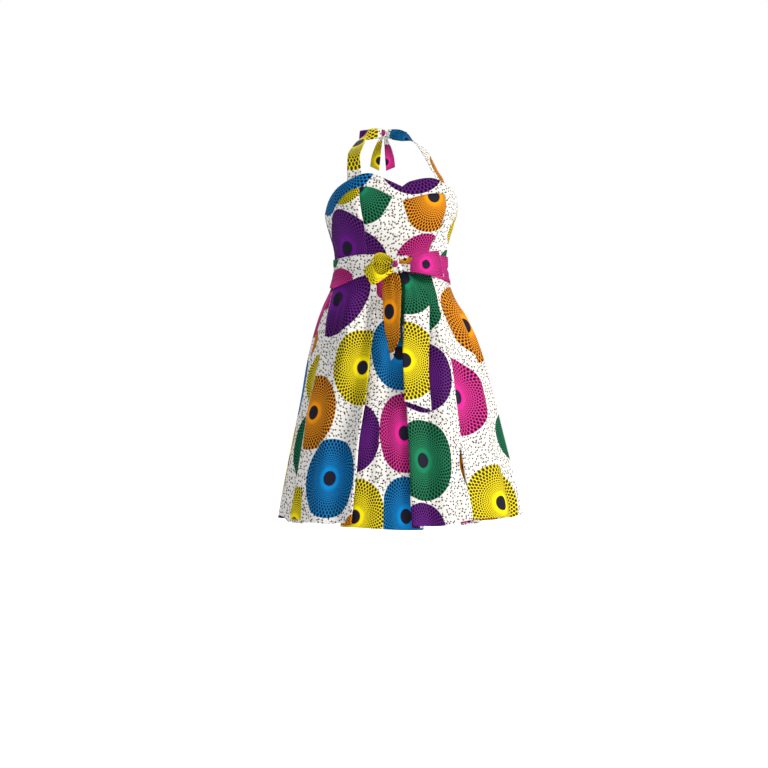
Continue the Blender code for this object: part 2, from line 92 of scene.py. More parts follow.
Ring = namedtuple("Ring", "height centre_x centre_y half_width front back")
FORM = (
    Ring(-985, 26, -70, 309, 229, 236), Ring(-935, 25, -70, 299, 221, 228),
    Ring(-846, 23, -70, 279, 207, 214), Ring(-758, 21, -70, 258, 192, 198),
    Ring(-669, 19, -70, 237, 176, 181), Ring(-581, 15, -70, 217, 158, 163),
    Ring(-522, 12, -70, 200, 145, 148), Ring(-472, 8, -70, 181, 131, 133),
    Ring(-433, 5, -71, 163, 118, 118), Ring(-399, 3, -73, 150, 106, 104),
    Ring(-372, 2, -74, 141, 96, 92), Ring(-354, 2, -74, 138, 92, 88),
    Ring(-330, 1, -74, 138, 92, 88), Ring(-300, 1, -73, 141, 96, 91),
    Ring(-271, 0, -72, 148, 104, 97), Ring(-239, 0, -71, 157, 113, 102),
    Ring(-207, 0, -70, 162, 116, 104), Ring(-165, 0, -70, 161, 112, 101),
    Ring(-143, 0, -70, 158, 106, 98), Ring(-100, 0, -70, 148, 94, 92),
)

# Part of the rows of these edges, of the princess seams and of the tails further down were worked
# out by a separate fitting program and copied in. They were not chosen by hand.
Edge = namedtuple("Edge", "angle height")
NECKLINE_LEFT = (
    Edge(-88, -217), Edge(-81, -211), Edge(-66, -184), Edge(-54, -163), Edge(-45, -149),
    Edge(-39, -141), Edge(-32, -131), Edge(-27, -128.5), Edge(-22, -130), Edge(-10, -144),
    Edge(SWEETHEART, -160),
)
NECKLINE_RIGHT = (
    Edge(SWEETHEART, -160), Edge(7, -149), Edge(13, -143), Edge(20, -138), Edge(27, -136),
    Edge(32, -138), Edge(37, -145), Edge(45, -156), Edge(54, -171), Edge(66, -190),
    Edge(80, -208), Edge(88, -217),
)
BAND_LOW_LEFT = (
    Edge(-88, BAND_SIDE), Edge(-75, -240), Edge(-61, -217), Edge(-52, -199), Edge(-45, -182),
    Edge(-39, -170), Edge(-32, -163.5), Edge(-26, -162), Edge(-19, -167), Edge(-8, -183),
    Edge(SWEETHEART, -194),
)
BAND_LOW_RIGHT = (
    Edge(SWEETHEART, -194), Edge(8, -188), Edge(16, -181), Edge(24, -175), Edge(32, -173),
    Edge(38, -175), Edge(45, -183), Edge(54, -200), Edge(64, -220), Edge(76, -242),
    Edge(88, BAND_SIDE),
)
Princess = namedtuple("Princess", "height left right")
PRINCESS = (
    Princess(-345, -33, 33), Princess(-300, -32, 35), Princess(-263, -31, 40.5),
    Princess(-236, -30.5, 38), Princess(-206, -30.5, 36.5), Princess(-160, -32, 36),
)

# Most angles of the front folds come from a separate fitting program, as printed or nudged.
# front_side is +1 where the panel on a fold's -X side lies on top, and -1 where the other does.
# pinch is the share of the usual tuck and layers that the fold has.
Fold = namedtuple("Fold", "front_side pinch angles")
FOLD_SHARES = (0.0, 0.12, 0.2, 0.3, FOLD_MIDDLE, 0.56, 0.68, 0.79, 0.9, 1.0)
FRONT_FOLDS = (
    Fold(-1, 1.0, (-81.0, -79.0, -73.5, -67.2, -68.7, -72.8, -71.3, -70.1, -69.4, -69.2)),
    Fold(-1, 0.3, (-80.8, -78.8, -73.3, -67.0, -68.5, -72.6, -71.0, -67.2, -62.2, -59.8)),
    Fold(1, 1.0, (-22.8, -22.8, -23.4, -25.3, -26.7, -28.8, -30.5, -30.8, -31.4, -32.0)),
    Fold(-1, 1.0, (1.0, 0.0, -1.0, -1.8, -2.4, -2.8, -2.6, -2.5, -2.8, -2.6)),
    Fold(1, 1.0, (36.5, 36.3, 32.6, 29.6, 29.0, 27.8, 27.0, 22.8, 26.6, 27.0)),
    Fold(-1, 1.0, (36.9, 36.7, 33.0, 30.0, 29.4, 28.2, 27.4, 27.3, 27.6, 27.3)),
)
RIGHT_BACK_FOLDS = (
    Fold(1, 1.0, (113.0, 113.6, 114.0, 114.6, 115.0, 115.0, 114.8, 114.5, 114.0, 114.0)),
    Fold(-1, 1.0, (137.0, 137.6, 138.0, 138.6, 139.0, 139.5, 140.0, 140.5, 141.0, 141.0)),
)
LEFT_BACK_FOLDS = (
    Fold(1, 1.0, (-139.0, -138.8, -138.5, -138.0, -138.0, -139.5, -140.5, -142.0, -142.5, -143.0)),
    Fold(-1, 1.0, (-112.0, -112.3, -112.5, -112.8, -113.0, -113.5, -114.0, -114.5, -115.0, -115.0)),
)
FRONT_VALLEYS = (4.0, 0.0, 9.0, 2.0, 8.0, 0.0, 6.0)
RIGHT_BACK_VALLEYS = (9.0, 3.0, 12.0)
LEFT_BACK_VALLEYS = (12.0, 3.0, 8.0)

Hem = namedtuple("Hem", "angle height")
HEM = (Hem(-180, -976), Hem(-130, -970), Hem(-88, -947), Hem(-60, -949), Hem(-30, -952), Hem(0, -958),
       Hem(30, -948), Hem(60, -949), Hem(88, -953), Hem(130, -970), Hem(180, -976))
Sash = namedtuple("Sash", "angle top bottom")
SASH = (Sash(-180, -322, -384), Sash(-110, -326, -394), Sash(-75, -327, -398), Sash(-55, -323, -388),
        Sash(-40, -320, -374), Sash(-12, -320, -362), Sash(8, -322, -364), Sash(30, -318, -368),
        Sash(75, -318, -384), Sash(110, -320, -386), Sash(180, -322, -384))

Station = namedtuple("Station", "ax ay az bx by bz")
STRAP_LEFT = (
    Station(-88, -164, -152, -121, -153, -156), Station(-88, -160, -122, -120, -148, -124),
    Station(-90, -152, -86, -117, -137, -86), Station(-79, -128, -60, -109, -112, -68),
    Station(-63, -85, -32, -87, -72, -41), Station(-52, -46, -7, -65, -34, -22),
    Station(-37, -16, 6, -43, -6, -20), Station(-8, -2, 9, -9, 4, -11),
)
STRAP_RIGHT = (
    Station(98, -163, -154, 122, -154, -160), Station(95, -158, -132, 116, -146, -134),
    Station(85, -150, -110, 106, -132, -112), Station(77, -132, -86, 98, -112, -85),
    Station(68, -107, -58, 89, -87, -56), Station(57, -72, -30, 74, -58, -37),
    Station(50, -42, -8, 61, -32, -24), Station(36, -16, 6, 42, -6, -20), Station(8, -2, 9, 9, 4, -11),
)
BOW_LOOP_LEFT = (
    Station(-20, -200, -354, -20, -197, -366), Station(-33, -208, -364, -32, -202, -374),
    Station(-46, -214, -372, -48, -205, -385), Station(-59, -217, -371, -68, -203, -396),
    Station(-68, -215, -359, -82, -192, -374), Station(-70, -212, -343, -83, -183, -355),
    Station(-64, -210, -325, -72, -174, -360), Station(-50, -210, -320, -54, -170, -370),
    Station(-33, -207, -325, -36, -172, -366), Station(-17, -198, -336, -17, -184, -356),
)
BOW_LOOP_RIGHT = (
    Station(-2, -192, -335, -2, -192, -360), Station(30, -208, -327, 30, -209, -365),
    Station(64, -205, -316, 66, -207, -370), Station(93, -188, -311, 104, -188, -373),
    Station(97, -171, -313, 107, -169, -371), Station(64, -178, -320, 66, -178, -366),
    Station(32, -184, -331, 32, -184, -360), Station(-2, -187, -339, -2, -187, -354),
)
NECK_LOOP = (
    Station(5, 12, 7, 5, 12, -11), Station(30, 22, 11, 31, 23, -14),
    Station(50, 22, 8, 52, 22, -16), Station(60, 14, 5, 62, 13, -15),
    Station(52, 7.5, 6, 53, 7, -14), Station(32, 9.5, 8, 33, 9.5, -13),
    Station(5, 9, 5, 5, 9, -9),
)
NECK_TAIL = (
    Station(1, 13, -9, 9, 12, -9), Station(4, 21, -34, 21, 19, -34),
    Station(6, 24, -60, 29, 22, -59), Station(9, 25, -92, 32, 24, -82),
)
Tail = namedtuple("Tail", "height left right out")
TAIL_SHORT = (
    Tail(-575, -11.5, -10.8, 13), Tail(-550, -12.6, -8.8, 13), Tail(-527, -13.6, -5.8, 13),
    Tail(-503, -15, -5.3, 13), Tail(-430, -16, -2.0, 14), Tail(-395, -16.5, -1.0, 15),
    Tail(-364, -11, -4, 17),
)
TAIL_LONG = (
    Tail(-672, -5, 10, 7), Tail(-600, -4.5, 11, 7), Tail(-550, -4, 13, 7), Tail(-480, -1, 18, 7),
    Tail(-429, 1.6, 23, 8), Tail(-395, 3, 20, 10), Tail(-364, -4, 5, 15),
)
TAIL_LONG_SLANT = 21.0
TAIL_SHORT_TILT = 22.0
TAIL_LONG_TILT = -3.0

# ---------------------------------------------------------------- creases
# A crease runs from one spot to another. Its depth is how far it sinks, and a ridge has one below 0.

Crease = namedtuple("Crease", "angle height end_angle end_height depth width end_width")
BODICE_CREASES = (
    Crease(-84, -318, -52, -326, 1.6, 5, 4), Crease(-86, -300, -60, -309, 1.2, 6, 4),
    Crease(-70, -286, -40, -300, 0.8, 7, 5), Crease(-80, -236, -58, -252, 1.3, 7, 5),
    Crease(-12, -190, -8, -262, 1.6, 12, 9), Crease(8, -196, 6, -250, -1.0, 9, 7),
    Crease(-26, -318, -6, -300, 1.0, 6, 5), Crease(18, -316, 30, -300, 0.9, 6, 4),
    Crease(56, -322, 84, -312, 1.5, 5, 5), Crease(60, -302, 86, -292, 1.0, 6, 5),
    Crease(58, -246, 82, -230, 1.2, 6, 5), Crease(100, -318, 140, -326, 1.4, 6, 5),
    Crease(112, -290, 150, -302, 1.0, 7, 6), Crease(-150, -300, -110, -290, 1.2, 7, 5),
    Crease(-160, -322, -120, -314, 1.4, 6, 5), Crease(104, -250, 130, -262, 0.9, 8, 6),
    Crease(-128, -262, -102, -248, 0.9, 8, 6),
)
# A fall is a long crease that runs down the skirt through spots of angle and height.
Fall = namedtuple("Fall", "depth width path")
# Part of the spots of the front falls come from the same program. Those of the back are made up.
FRONT_FALLS = (
    Fall(12, 36, ((-31, -392), (-30, -430), (-32, -526), (-34, -597), (-36, -668),
             (-39.5, -738), (-40, -784), (-39, -854), (-37.5, -945))),
    Fall(-6, 40, ((-50, -392), (-47, -429), (-43, -526), (-46, -597), (-51.5, -668),
             (-51, -762), (-50, -945))),
    Fall(4, 12, ((-64, -400), (-60, -560), (-58, -700), (-57, -945))),
    Fall(2.5, 8, ((-55, -392), (-54, -470), (-53, -560))),
    Fall(3, 14, ((-10, -392), (-14, -640), (-15, -945))),
    Fall(2, 9, ((-20, -660), (-23, -800), (-24, -948))),
    Fall(2, 8, ((-17, -388), (-18, -450), (-18, -520))),
    Fall(9, 30, ((17, -392), (16, -470), (15, -538), (11.5, -621), (8.5, -714), (7, -807),
             (5.5, -900), (5, -950))),
    Fall(-5, 32, ((28, -450), (24, -537), (17.5, -668), (13.5, -761), (13, -854), (13, -950))),
    Fall(2.5, 9, ((21, -760), (20, -860), (20, -948))),
    Fall(8, 38, ((54, -400), (46.5, -524), (37, -668), (33, -786), (32, -945))),
    Fall(-8, 48, ((58, -400), (52, -560), (49.5, -645), (49.5, -740), (48.5, -836), (47, -945))),
    Fall(3, 10, ((45, -392), (44, -450), (43, -500))),
    Fall(7, 34, ((70, -400), (66, -600), (63, -780), (62, -945))),
    Fall(-5, 22, ((80, -420), (77, -700), (76, -945))),
    Fall(3, 14, ((-84, -420), (-80, -700), (-79, -930))),
)
BACK_FALLS = (
    Fall(6, 20, ((99, -395), (101, -640), (102, -960))),
    Fall(-5, 20, ((107, -400), (108, -660), (108, -958))),
    Fall(3, 10, ((104, -392), (105, -450), (106, -540))),
    Fall(7, 20, ((123, -392), (126, -640), (127, -962))),
    Fall(-5, 18, ((131, -420), (133, -700), (134, -964))),
    Fall(8, 22, ((147, -392), (150, -620), (152, -965))),
    Fall(-7, 24, ((156, -396), (160, -660), (163, -968))),
    Fall(4, 12, ((169, -392), (170, -520), (170, -640))),
    Fall(6, 20, ((172, -560), (173, -760), (173, -970))),
    Fall(-5, 18, ((-98, -395), (-99, -640), (-100, -958))),
    Fall(7, 20, ((-106, -392), (-107, -640), (-108, -960))),
    Fall(6, 18, ((-122, -392), (-125, -640), (-127, -964))),
    Fall(-5, 18, ((-131, -430), (-133, -700), (-134, -966))),
    Fall(8, 22, ((-149, -392), (-152, -600), (-154, -966))),
    Fall(-6, 22, ((-158, -396), (-162, -660), (-164, -970))),
    Fall(4, 12, ((-170, -392), (-169, -500), (-169, -600))),
    Fall(6, 20, ((-172, -540), (-173, -740), (-173, -972))),
)
FALL_ROUND = 4.0         # how softly a fall turns at its line
SASH_CREASES = (
    Crease(-100, -352, -14, -338, 3.0, 4, 3), Crease(-88, -370, -24, -350, 2.4, 4, 3),
    Crease(-60, -338, -16, -331, 2.0, 3, 2), Crease(-82, -384, -44, -366, 1.8, 4, 3),
    Crease(14, -340, 96, -350, 2.7, 4, 4), Crease(20, -354, 82, -368, 2.2, 4, 3),
    Crease(30, -330, 74, -334, 1.8, 3, 3), Crease(96, -345, 160, -356, 2.5, 4, 4),
    Crease(112, -368, 172, -366, 2.0, 4, 4), Crease(120, -334, 150, -338, 1.5, 3, 3),
    Crease(-172, -350, -104, -360, 2.4, 4, 4), Crease(-150, -336, -110, -342, 1.7, 3, 3),
    Crease(-166, -370, -120, -378, 1.8, 4, 3),
)

# ---------------------------------------------------------------- the print
# A disc of the print: its centre, and how far its cloth reaches across and up. Pleats gather the
# cloth between their folds, so most discs of the skirt's front show narrower than they are high.
# lean is how many degrees a disc's upright turns for each 100 mm of height.

Disc = namedtuple("Disc", "panel line height colour across up lean", defaults=(0.0,))
# The places in CENTRE_DISCS, and most places and part of the widths in FRONT_DISCS, come from that
# fitting too. The discs of the back and of the skirt backs are made up.
CENTRE_DISCS = (
    Disc(0, -33, -163, "green", 90, 88), Disc(0, -47, -344, "purple", 86, 90),
    Disc(0, 26, -181, "orange", 80, 84), Disc(0, 28.5, -338, "pink", 75, 70),
)
SIDE_LEFT_DISCS = (
    Disc(0, -55, -303, "purple", 84, 90, 11.0), Disc(0, -46, -147, "yellow", 62, 57),
    Disc(0, -92, -380, "green", 60, 80),
)
SIDE_RIGHT_DISCS = (
    Disc(0, 74, -344, "green", 46, 44), Disc(0, 84, -226, "yellow", 70, 62),
)
BAND_DISCS = (
    Disc(0, -52, -106, "blue", 97, 96), Disc(0, -72, -136, "blue", 90, 88),
    Disc(0, 10, -82, "purple", 98, 97), Disc(0, 84, -226, "yellow", 70, 62),
)
BACK_LEFT_DISCS = (
    Disc(0, -86, -303, "purple", 66, 90), Disc(0, -126, -226, "orange", 54, 56),
    Disc(0, -163, -328, "blue", 64, 64),
)
BACK_RIGHT_DISCS = (
    Disc(0, 103, -302, "pink", 58, 64), Disc(0, 156, -232, "green", 74, 76),
    Disc(0, 178, -356, "purple", 40, 40),
)
FRONT_DISCS = (
    Disc(0, -86, -398, "pink", 34, 52), Disc(0, -90, -530, "orange", 18, 34),
    Disc(0, -65.5, -622, "yellow", 58, 72), Disc(0, -67, -773, "green", 60, 90),
    Disc(1, -66, -961, "yellow", 46, 92),
    Disc(2, -64, -425, "purple", 85, 96), Disc(2, -30.5, -589, "yellow", 74, 95),
    Disc(2, -65.5, -698, "orange", 69, 93), Disc(2, -45.5, -850, "blue", 67, 97),
    Disc(2, -31, -1000, "orange", 42, 76),
    Disc(3, -14.5, -392, "pink", 22, 34), Disc(3, -5.5, -555, "blue", 67, 92),
    Disc(3, -35, -754, "purple", 69, 88),
    Disc(3, -5, -743, "pink", 59, 97), Disc(3, -30.5, -936, "yellow", 71, 92),
    Disc(3, -5.5, -935, "blue", 57, 96),
    Disc(4, 11, -412, "green", 80, 98), Disc(4, 6.5, -609, "purple", 84, 91),
    Disc(4, 4, -807, "green", 73, 99), Disc(4, 2, -993, "purple", 60, 93),
    Disc(4, 29, -953, "pink", 26, 30),
    Disc(5, 30, -822, "orange", 60, 84),
    Disc(6, 72, -484, "orange", 98, 97), Disc(6, 29, -660, "pink", 106, 97),
    Disc(6, 84, -762, "green", 62, 66), Disc(6, 46.5, -915, "yellow", 112, 96),
)
SKIRT_RIGHT_DISCS = (
    Disc(0, 98, -420, "blue", 56, 74), Disc(0, 108, -600, "yellow", 70, 88),
    Disc(0, 93, -760, "green", 46, 66),
    Disc(0, 105, -880, "pink", 76, 88),
    Disc(1, 123, -468, "pink", 60, 88), Disc(1, 132, -690, "green", 64, 92),
    Disc(1, 121, -896, "orange", 66, 90),
    Disc(2, 146, -410, "orange", 66, 80), Disc(2, 170, -560, "blue", 76, 92),
    Disc(2, 147, -668, "yellow", 66, 86),
    Disc(2, 168, -788, "purple", 78, 92), Disc(2, 147, -905, "green", 68, 88),
    Disc(2, 176, -985, "pink", 66, 84),
)
SKIRT_LEFT_DISCS = (
    Disc(0, -171, -430, "yellow", 66, 84), Disc(0, -146, -540, "green", 66, 86),
    Disc(0, -172, -660, "orange", 76, 92),
    Disc(0, -149, -772, "pink", 72, 92), Disc(0, -170, -880, "blue", 80, 92),
    Disc(0, -150, -985, "yellow", 64, 80),
    Disc(1, -128, -430, "orange", 60, 84), Disc(1, -122, -640, "purple", 64, 92),
    Disc(1, -132, -850, "green", 68, 92),
    Disc(2, -99, -440, "pink", 60, 84), Disc(2, -106, -640, "blue", 62, 84),
    Disc(2, -96, -815, "yellow", 66, 84),
    Disc(2, -110, -950, "purple", 66, 76),
)
SASH_DISCS = (
    Disc(0, -71, -412, "pink", 64, 62), Disc(0, 42, -352, "pink", 88, 62),
    Disc(0, -86, -332, "green", 24, 15),
    Disc(0, 128, -340, "orange", 80, 60), Disc(0, -136, -372, "blue", 84, 64),
    Disc(0, 176, -400, "yellow", 60, 50),
)

LIBRARY_COLOURS = {
    "yellow": "F5E01C", "orange": "F2981C", "blue": "0F86D2", "purple": "6A1D8C",
    "pink": "E4359B", "green": "1C7E58", "navy": "1F1D30",
}


def linear(hex_colour):
    """A linear colour from an sRGB hex value."""
    channels = [int(hex_colour[index:index + 2], 16) / 255 for index in (0, 2, 4)]
    return [value / 12.92 if value <= 0.04045 else ((value + 0.055) / 1.055) ** 2.4 for value in channels]


def hue(name, words):
    """A colour property of the print."""
    return FloatVectorProperty(name=name.capitalize(), description=words, subtype="COLOR", size=3,
                               min=0.0, max=1.0, default=linear(LIBRARY_COLOURS[name]))


class DressPrint(bpy.types.PropertyGroup):
    """Colours and sizes of the wax print."""
    yellow: hue("yellow", "Yellow discs")
    orange: hue("orange", "Orange discs")
    blue: hue("blue", "Blue discs")
    purple: hue("purple", "Purple discs")
    pink: hue("pink", "Pink discs")
    green: hue("green", "Green discs")
    navy: hue("navy", "The eye of each disc")
    ground: FloatVectorProperty(name="Ground", description="The white cloth between the discs",
                                subtype="COLOR",
                                size=3, min=0.0, max=1.0, default=linear("F7F5F2"))
    dot_spacing: FloatProperty(name="Dot spacing", description="Between the small dots of the ground",
                               default=0.0088, unit="LENGTH", min=0.004, max=0.05)
    thread: FloatProperty(name="Thread spacing", description="Spacing of the drawn weave", default=0.0011,
                          unit="LENGTH", min=0.0003, max=0.005)


class DressCloth(bpy.types.PropertyGroup):
    """Sizes of the cloth."""
    wall: FloatProperty(name="Cloth", description="Thickness of one layer of cloth", default=0.0006,
                        unit="LENGTH", min=0.0003, max=0.002)
    band: FloatProperty(name="Made-up cloth", description="Thickness of a doubled and pressed piece",
                        default=0.0011, unit="LENGTH", min=0.0005, max=0.003)
    crease: FloatProperty(name="Creases", description="Share of the creases' depth", default=1.3,
                          subtype="FACTOR", min=0.0, max=2.0)


class DressStage(bpy.types.PropertyGroup):
    """The studio."""
    turn: FloatProperty(name="View", description="Angle of the camera about the dress",
                        default=math.radians(-11), subtype="ANGLE")
    distance: FloatProperty(name="Distance", description="From the camera to the dress", default=3.6,
                            unit="LENGTH", min=1.0, max=20.0)
    floor: FloatProperty(name="Floor", description="How far the floor lies below the nape", default=1.545,
                         unit="LENGTH", min=1.0, max=2.0)
    key: FloatProperty(name="Key light", description="Power of the main light in watts", default=128.0,
                       min=0.0)
    fill: FloatProperty(name="Fill light", description="Brightness of the white surround", default=0.27,
                        min=0.0, max=2.0)


# ---------------------------------------------------------------- the form


def interpolate(table, at):
    """Every column after the first, smoothly, at a value of the first, which rises down the table."""
    at = min(max(at, table[0][0]), table[-1][0])
    start = next(i for i in range(len(table) - 1) if at <= table[i + 1][0])
    before, low = table[max(start - 1, 0)], table[start]
    high, after = table[start + 1], table[min(start + 2, len(table) - 1)]
    step = high[0] - low[0]
    s = (at - low[0]) / step
    values = []
    for column in range(1, len(low)):
        slope_low = (high[column] - before[column]) / (high[0] - before[0]) * step
        slope_high = (after[column] - low[column]) / (after[0] - low[0]) * step
        values.append((2 * s**3 - 3 * s**2 + 1) * low[column] + (s**3 - 2 * s**2 + s) * slope_low
                      + (3 * s**2 - 2 * s**3) * high[column] + (s**3 - s**2) * slope_high)
    return values


def mix(start, end, share):
    """A value part of the way from start to end."""
    return start + (end - start) * share


def smooth(share):
    """An eased share, kept between 0 and 1."""
    share = min(max(share, 0.0), 1.0)
    return share * share * (3 - 2 * share)


def cup(angle, height):
    """How far the two cups stand out from the form."""
    fall = CUP_FALL_ABOVE if height > CUP_HEIGHT else CUP_FALL_BELOW
    rise = math.exp(-((height - CUP_HEIGHT) / fall) ** 2 / 2)
    across = sum(math.exp(-((angle - side * CUP_ANGLE) / CUP_SPREAD) ** 2 / 2) for side in (-1, 1))
    return CUP_REACH * rise * across


def form(angle, height, ring=None):
    """The general form: an ellipse at each height, deeper at the front than at the back."""
    centre_x, centre_y, half_width, front, back = ring or interpolate(FORM, height)
    turn = math.radians(angle)
    depth = front if math.cos(turn) > 0 else back
    reach = cup(angle, height) if height > WAIST else 0.0
    return Vector((centre_x + (half_width + reach) * math.sin(turn),
                   centre_y - (depth + reach) * math.cos(turn), height))


def place(angle, height, out):
    """A point beyond the form, squarely out from its surface."""
    ring = interpolate(FORM, height)
    along = form(angle + 0.5, height, ring) - form(angle - 0.5, height, ring)
    up = form(angle, height + 1.0) - form(angle, height - 1.0)
    return form(angle, height, ring) + along.cross(up).normalized() * out


def degrees_of(length, angle, height):
    """The angle that a length takes up on the form."""
    return length / (form(angle + 0.5, height) - form(angle - 0.5, height)).length


def sink(creases, angle, height, reach):
    """How deep the creases are at a spot, where one degree spans reach millimetres."""
    total = 0.0
    for c in creases:
        ax, ay = (angle - c.angle) * reach, height - c.height
        bx, by = (c.end_angle - c.angle) * reach, c.end_height - c.height
        length2 = bx * bx + by * by
        along = (ax * bx + ay * by) / length2
        if not -0.1 < along < 1.1:
            continue
        width = mix(c.width, c.end_width, along)
        away = abs(ax * by - ay * bx) / math.sqrt(length2) / width
        if away < 3.0:
            total += c.depth * math.exp(-away * away) * smooth((along + 0.1) * 4) * smooth((1.1 - along) * 4)
    return total * bpy.context.scene.dress_cloth.crease


def fall_depth(falls, angle, height, reach):
    """How deep the long falls are at a spot, where one degree spans reach millimetres."""
    total = 0.0
    for fall in falls:
        first, last = fall.path[0], fall.path[-1]
        if height > first[1] + 12 or abs(angle - first[0]) > 40:
            continue
        line = interpolate([(-spot[1], spot[0]) for spot in fall.path], -height)[0]
        away = abs(angle - line) * reach
        fade = smooth((first[1] + 12 - height) / 60) * smooth((height - last[1] + 60) / 60)
        near = 1 - (math.hypot(away, FALL_ROUND) - FALL_ROUND) / fall.width
        total += fall.depth * fade * (near + math.hypot(near, 0.12)) / 2
    return total * bpy.context.scene.dress_cloth.crease


# ---------------------------------------------------------------- cloth from a grid of spots
# s and t are the cloth's own millimetres, across and up. line is what a disc's place is given by
# along a row, and panel says which discs a spot may carry.

Spot = namedtuple("Spot", "point s t line panel")


PLEAT_EASE = 0.5         # how much more of a disc's narrowing lies near its rim than at its eye


def disc_maps(spots, discs):
    """For each disc, its own coordinates at every spot: 1 away from its centre at its rim."""
    s = np.array([[spot.s for spot in row] for row in spots])
    t = np.array([[spot.t for spot in row] for row in spots])
    line = np.array([[spot.line for spot in row] for row in spots])
    panel = np.array([[spot.panel for spot in row] for row in spots])
    maps = []
    for disc in discs:
        columns = np.flatnonzero(panel[0] == disc.panel)
        first, last = columns[0], columns[-1]
        scale = (s[:, last] - s[:, first]) / (line[:, last] - line[:, first])
        upright = disc.line + disc.lean * (t[:, first] - disc.height) / 100
        centre = np.array([np.interp(upright[row], line[row, columns],
                                     s[row, columns]) for row in range(len(s))])
        centre += np.minimum(upright - line[:, first], 0) * scale
        centre += np.maximum(upright - line[:, last], 0) * scale
        x = (s - centre[:, None]) / disc.across
        ease = 1 - PLEAT_EASE * (1 - disc.across / disc.up)
        x = np.where(abs(x) < 1, x * (ease + (1 - ease) * x * x), x)
        y = (t - disc.height) / disc.up
        maps.append((np.stack([x, y], -1), panel == disc.panel))
    return s, t, maps


def cloth(name, spots, discs, wall, material, node, ring=False, flip=False):
    """A thin shell of printed cloth through rows of spots, bottom row first."""
    rows, columns = len(spots), len(spots[0])
    s, t, maps = disc_maps(spots, discs)
    mesh = bmesh.new()
    bmesh.ops.create_grid(mesh, x_segments=columns - 1, y_segments=rows - 1, size=1.0)
    mesh.verts.ensure_lookup_table()
    cloth_uv = mesh.loops.layers.uv.new("Cloth")
    disc_uv = mesh.loops.layers.uv.new("Disc")
    tint = mesh.loops.layers.float_color.new("Disc colour")
    print_colours = bpy.context.scene.dress_print
    area = 0.0
    for index, vertex in enumerate(mesh.verts):
        vertex.co = spots[index // columns][index % columns].point * MM
    for face in mesh.faces:
        places = [(loop.vert.index // columns, loop.vert.index % columns) for loop in face.loops]
        best, choice = 1e9, None
        for number, (coordinates, allowed) in enumerate(maps):
            if all(allowed[p] for p in places):
                away = sum(math.hypot(*coordinates[p]) for p in places)
                if away < best:
                    best, choice = away, number
        if choice is not None and discs[choice].colour == "ground":
            choice = None
        colour = getattr(print_colours, discs[choice].colour) if choice is not None else (1, 1, 1)
        for loop, spot in zip(face.loops, places):
            loop[cloth_uv].uv = (s[spot] * MM, t[spot] * MM)
            loop[disc_uv].uv = maps[choice][0][spot] if choice is not None else (9.0, 9.0)
            loop[tint] = (*colour, 1.0)
        area += face.calc_area()
    if ring:
        bmesh.ops.remove_doubles(mesh, verts=mesh.verts, dist=1e-6)
    if flip:
        bmesh.ops.reverse_faces(mesh, faces=mesh.faces)
    thing = finish(name, mesh, material, node)
    wall_modifier = thing.modifiers.new("Cloth wall", "SOLIDIFY")
    wall_modifier.thickness = wall
    wall_modifier.offset = 0.0
    return thing


def finish(name, mesh, material, node, body=BODY):
    """Make an object of a mesh, shade it smooth, and let it ride on its body in a node's place."""
    data = bpy.data.meshes.new(name)
    mesh.to_mesh(data)
    mesh.free()
    data.shade_smooth()
    data.materials.append(material)
    thing = bpy.data.objects.new(name, data)
    bpy.context.scene.collection.objects.link(thing)
    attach(thing, body)
    if node:
        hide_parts(node)
    return thing


# ---------------------------------------------------------------- materials


def add(tree, kind, links=(), **settings):
    """Add a shader node with its settings, and link or set its inputs, given as pairs of socket and value."""
    node = tree.nodes.new("ShaderNode" + kind)
    for key, value in settings.items():
        setattr(node, key, value)
    for socket, value in dict(links).items():
        if isinstance(value, bpy.types.NodeSocket):
            tree.links.new(value, node.inputs[socket])
        else:
            node.inputs[socket].default_value = value
    return node


def new_material(name):
    """An empty node material and its output."""
    material = bpy.data.materials.new(name)
    material.use_nodes = True
    material.node_tree.nodes.clear()
    return material, material.node_tree


DISC_DOTS = 52           # dots round each ring of a disc
RING_STEP = 0.1          # each ring of dots is this much of its radius further out
EYE = 0.19               # the navy eye, as a share of the disc
EYE_EDGE = 0.008         # half the soft edge of the eye


def mixed(tree, share, first, second):
    """The colour a share of the way from the first to the second."""
    # a mix node has its two colours in the sockets numbered 6 and 7, and its result in number 2
    return add(tree, "Mix", {"Factor": share, 6: first, 7: second}, data_type="RGBA").outputs[2]


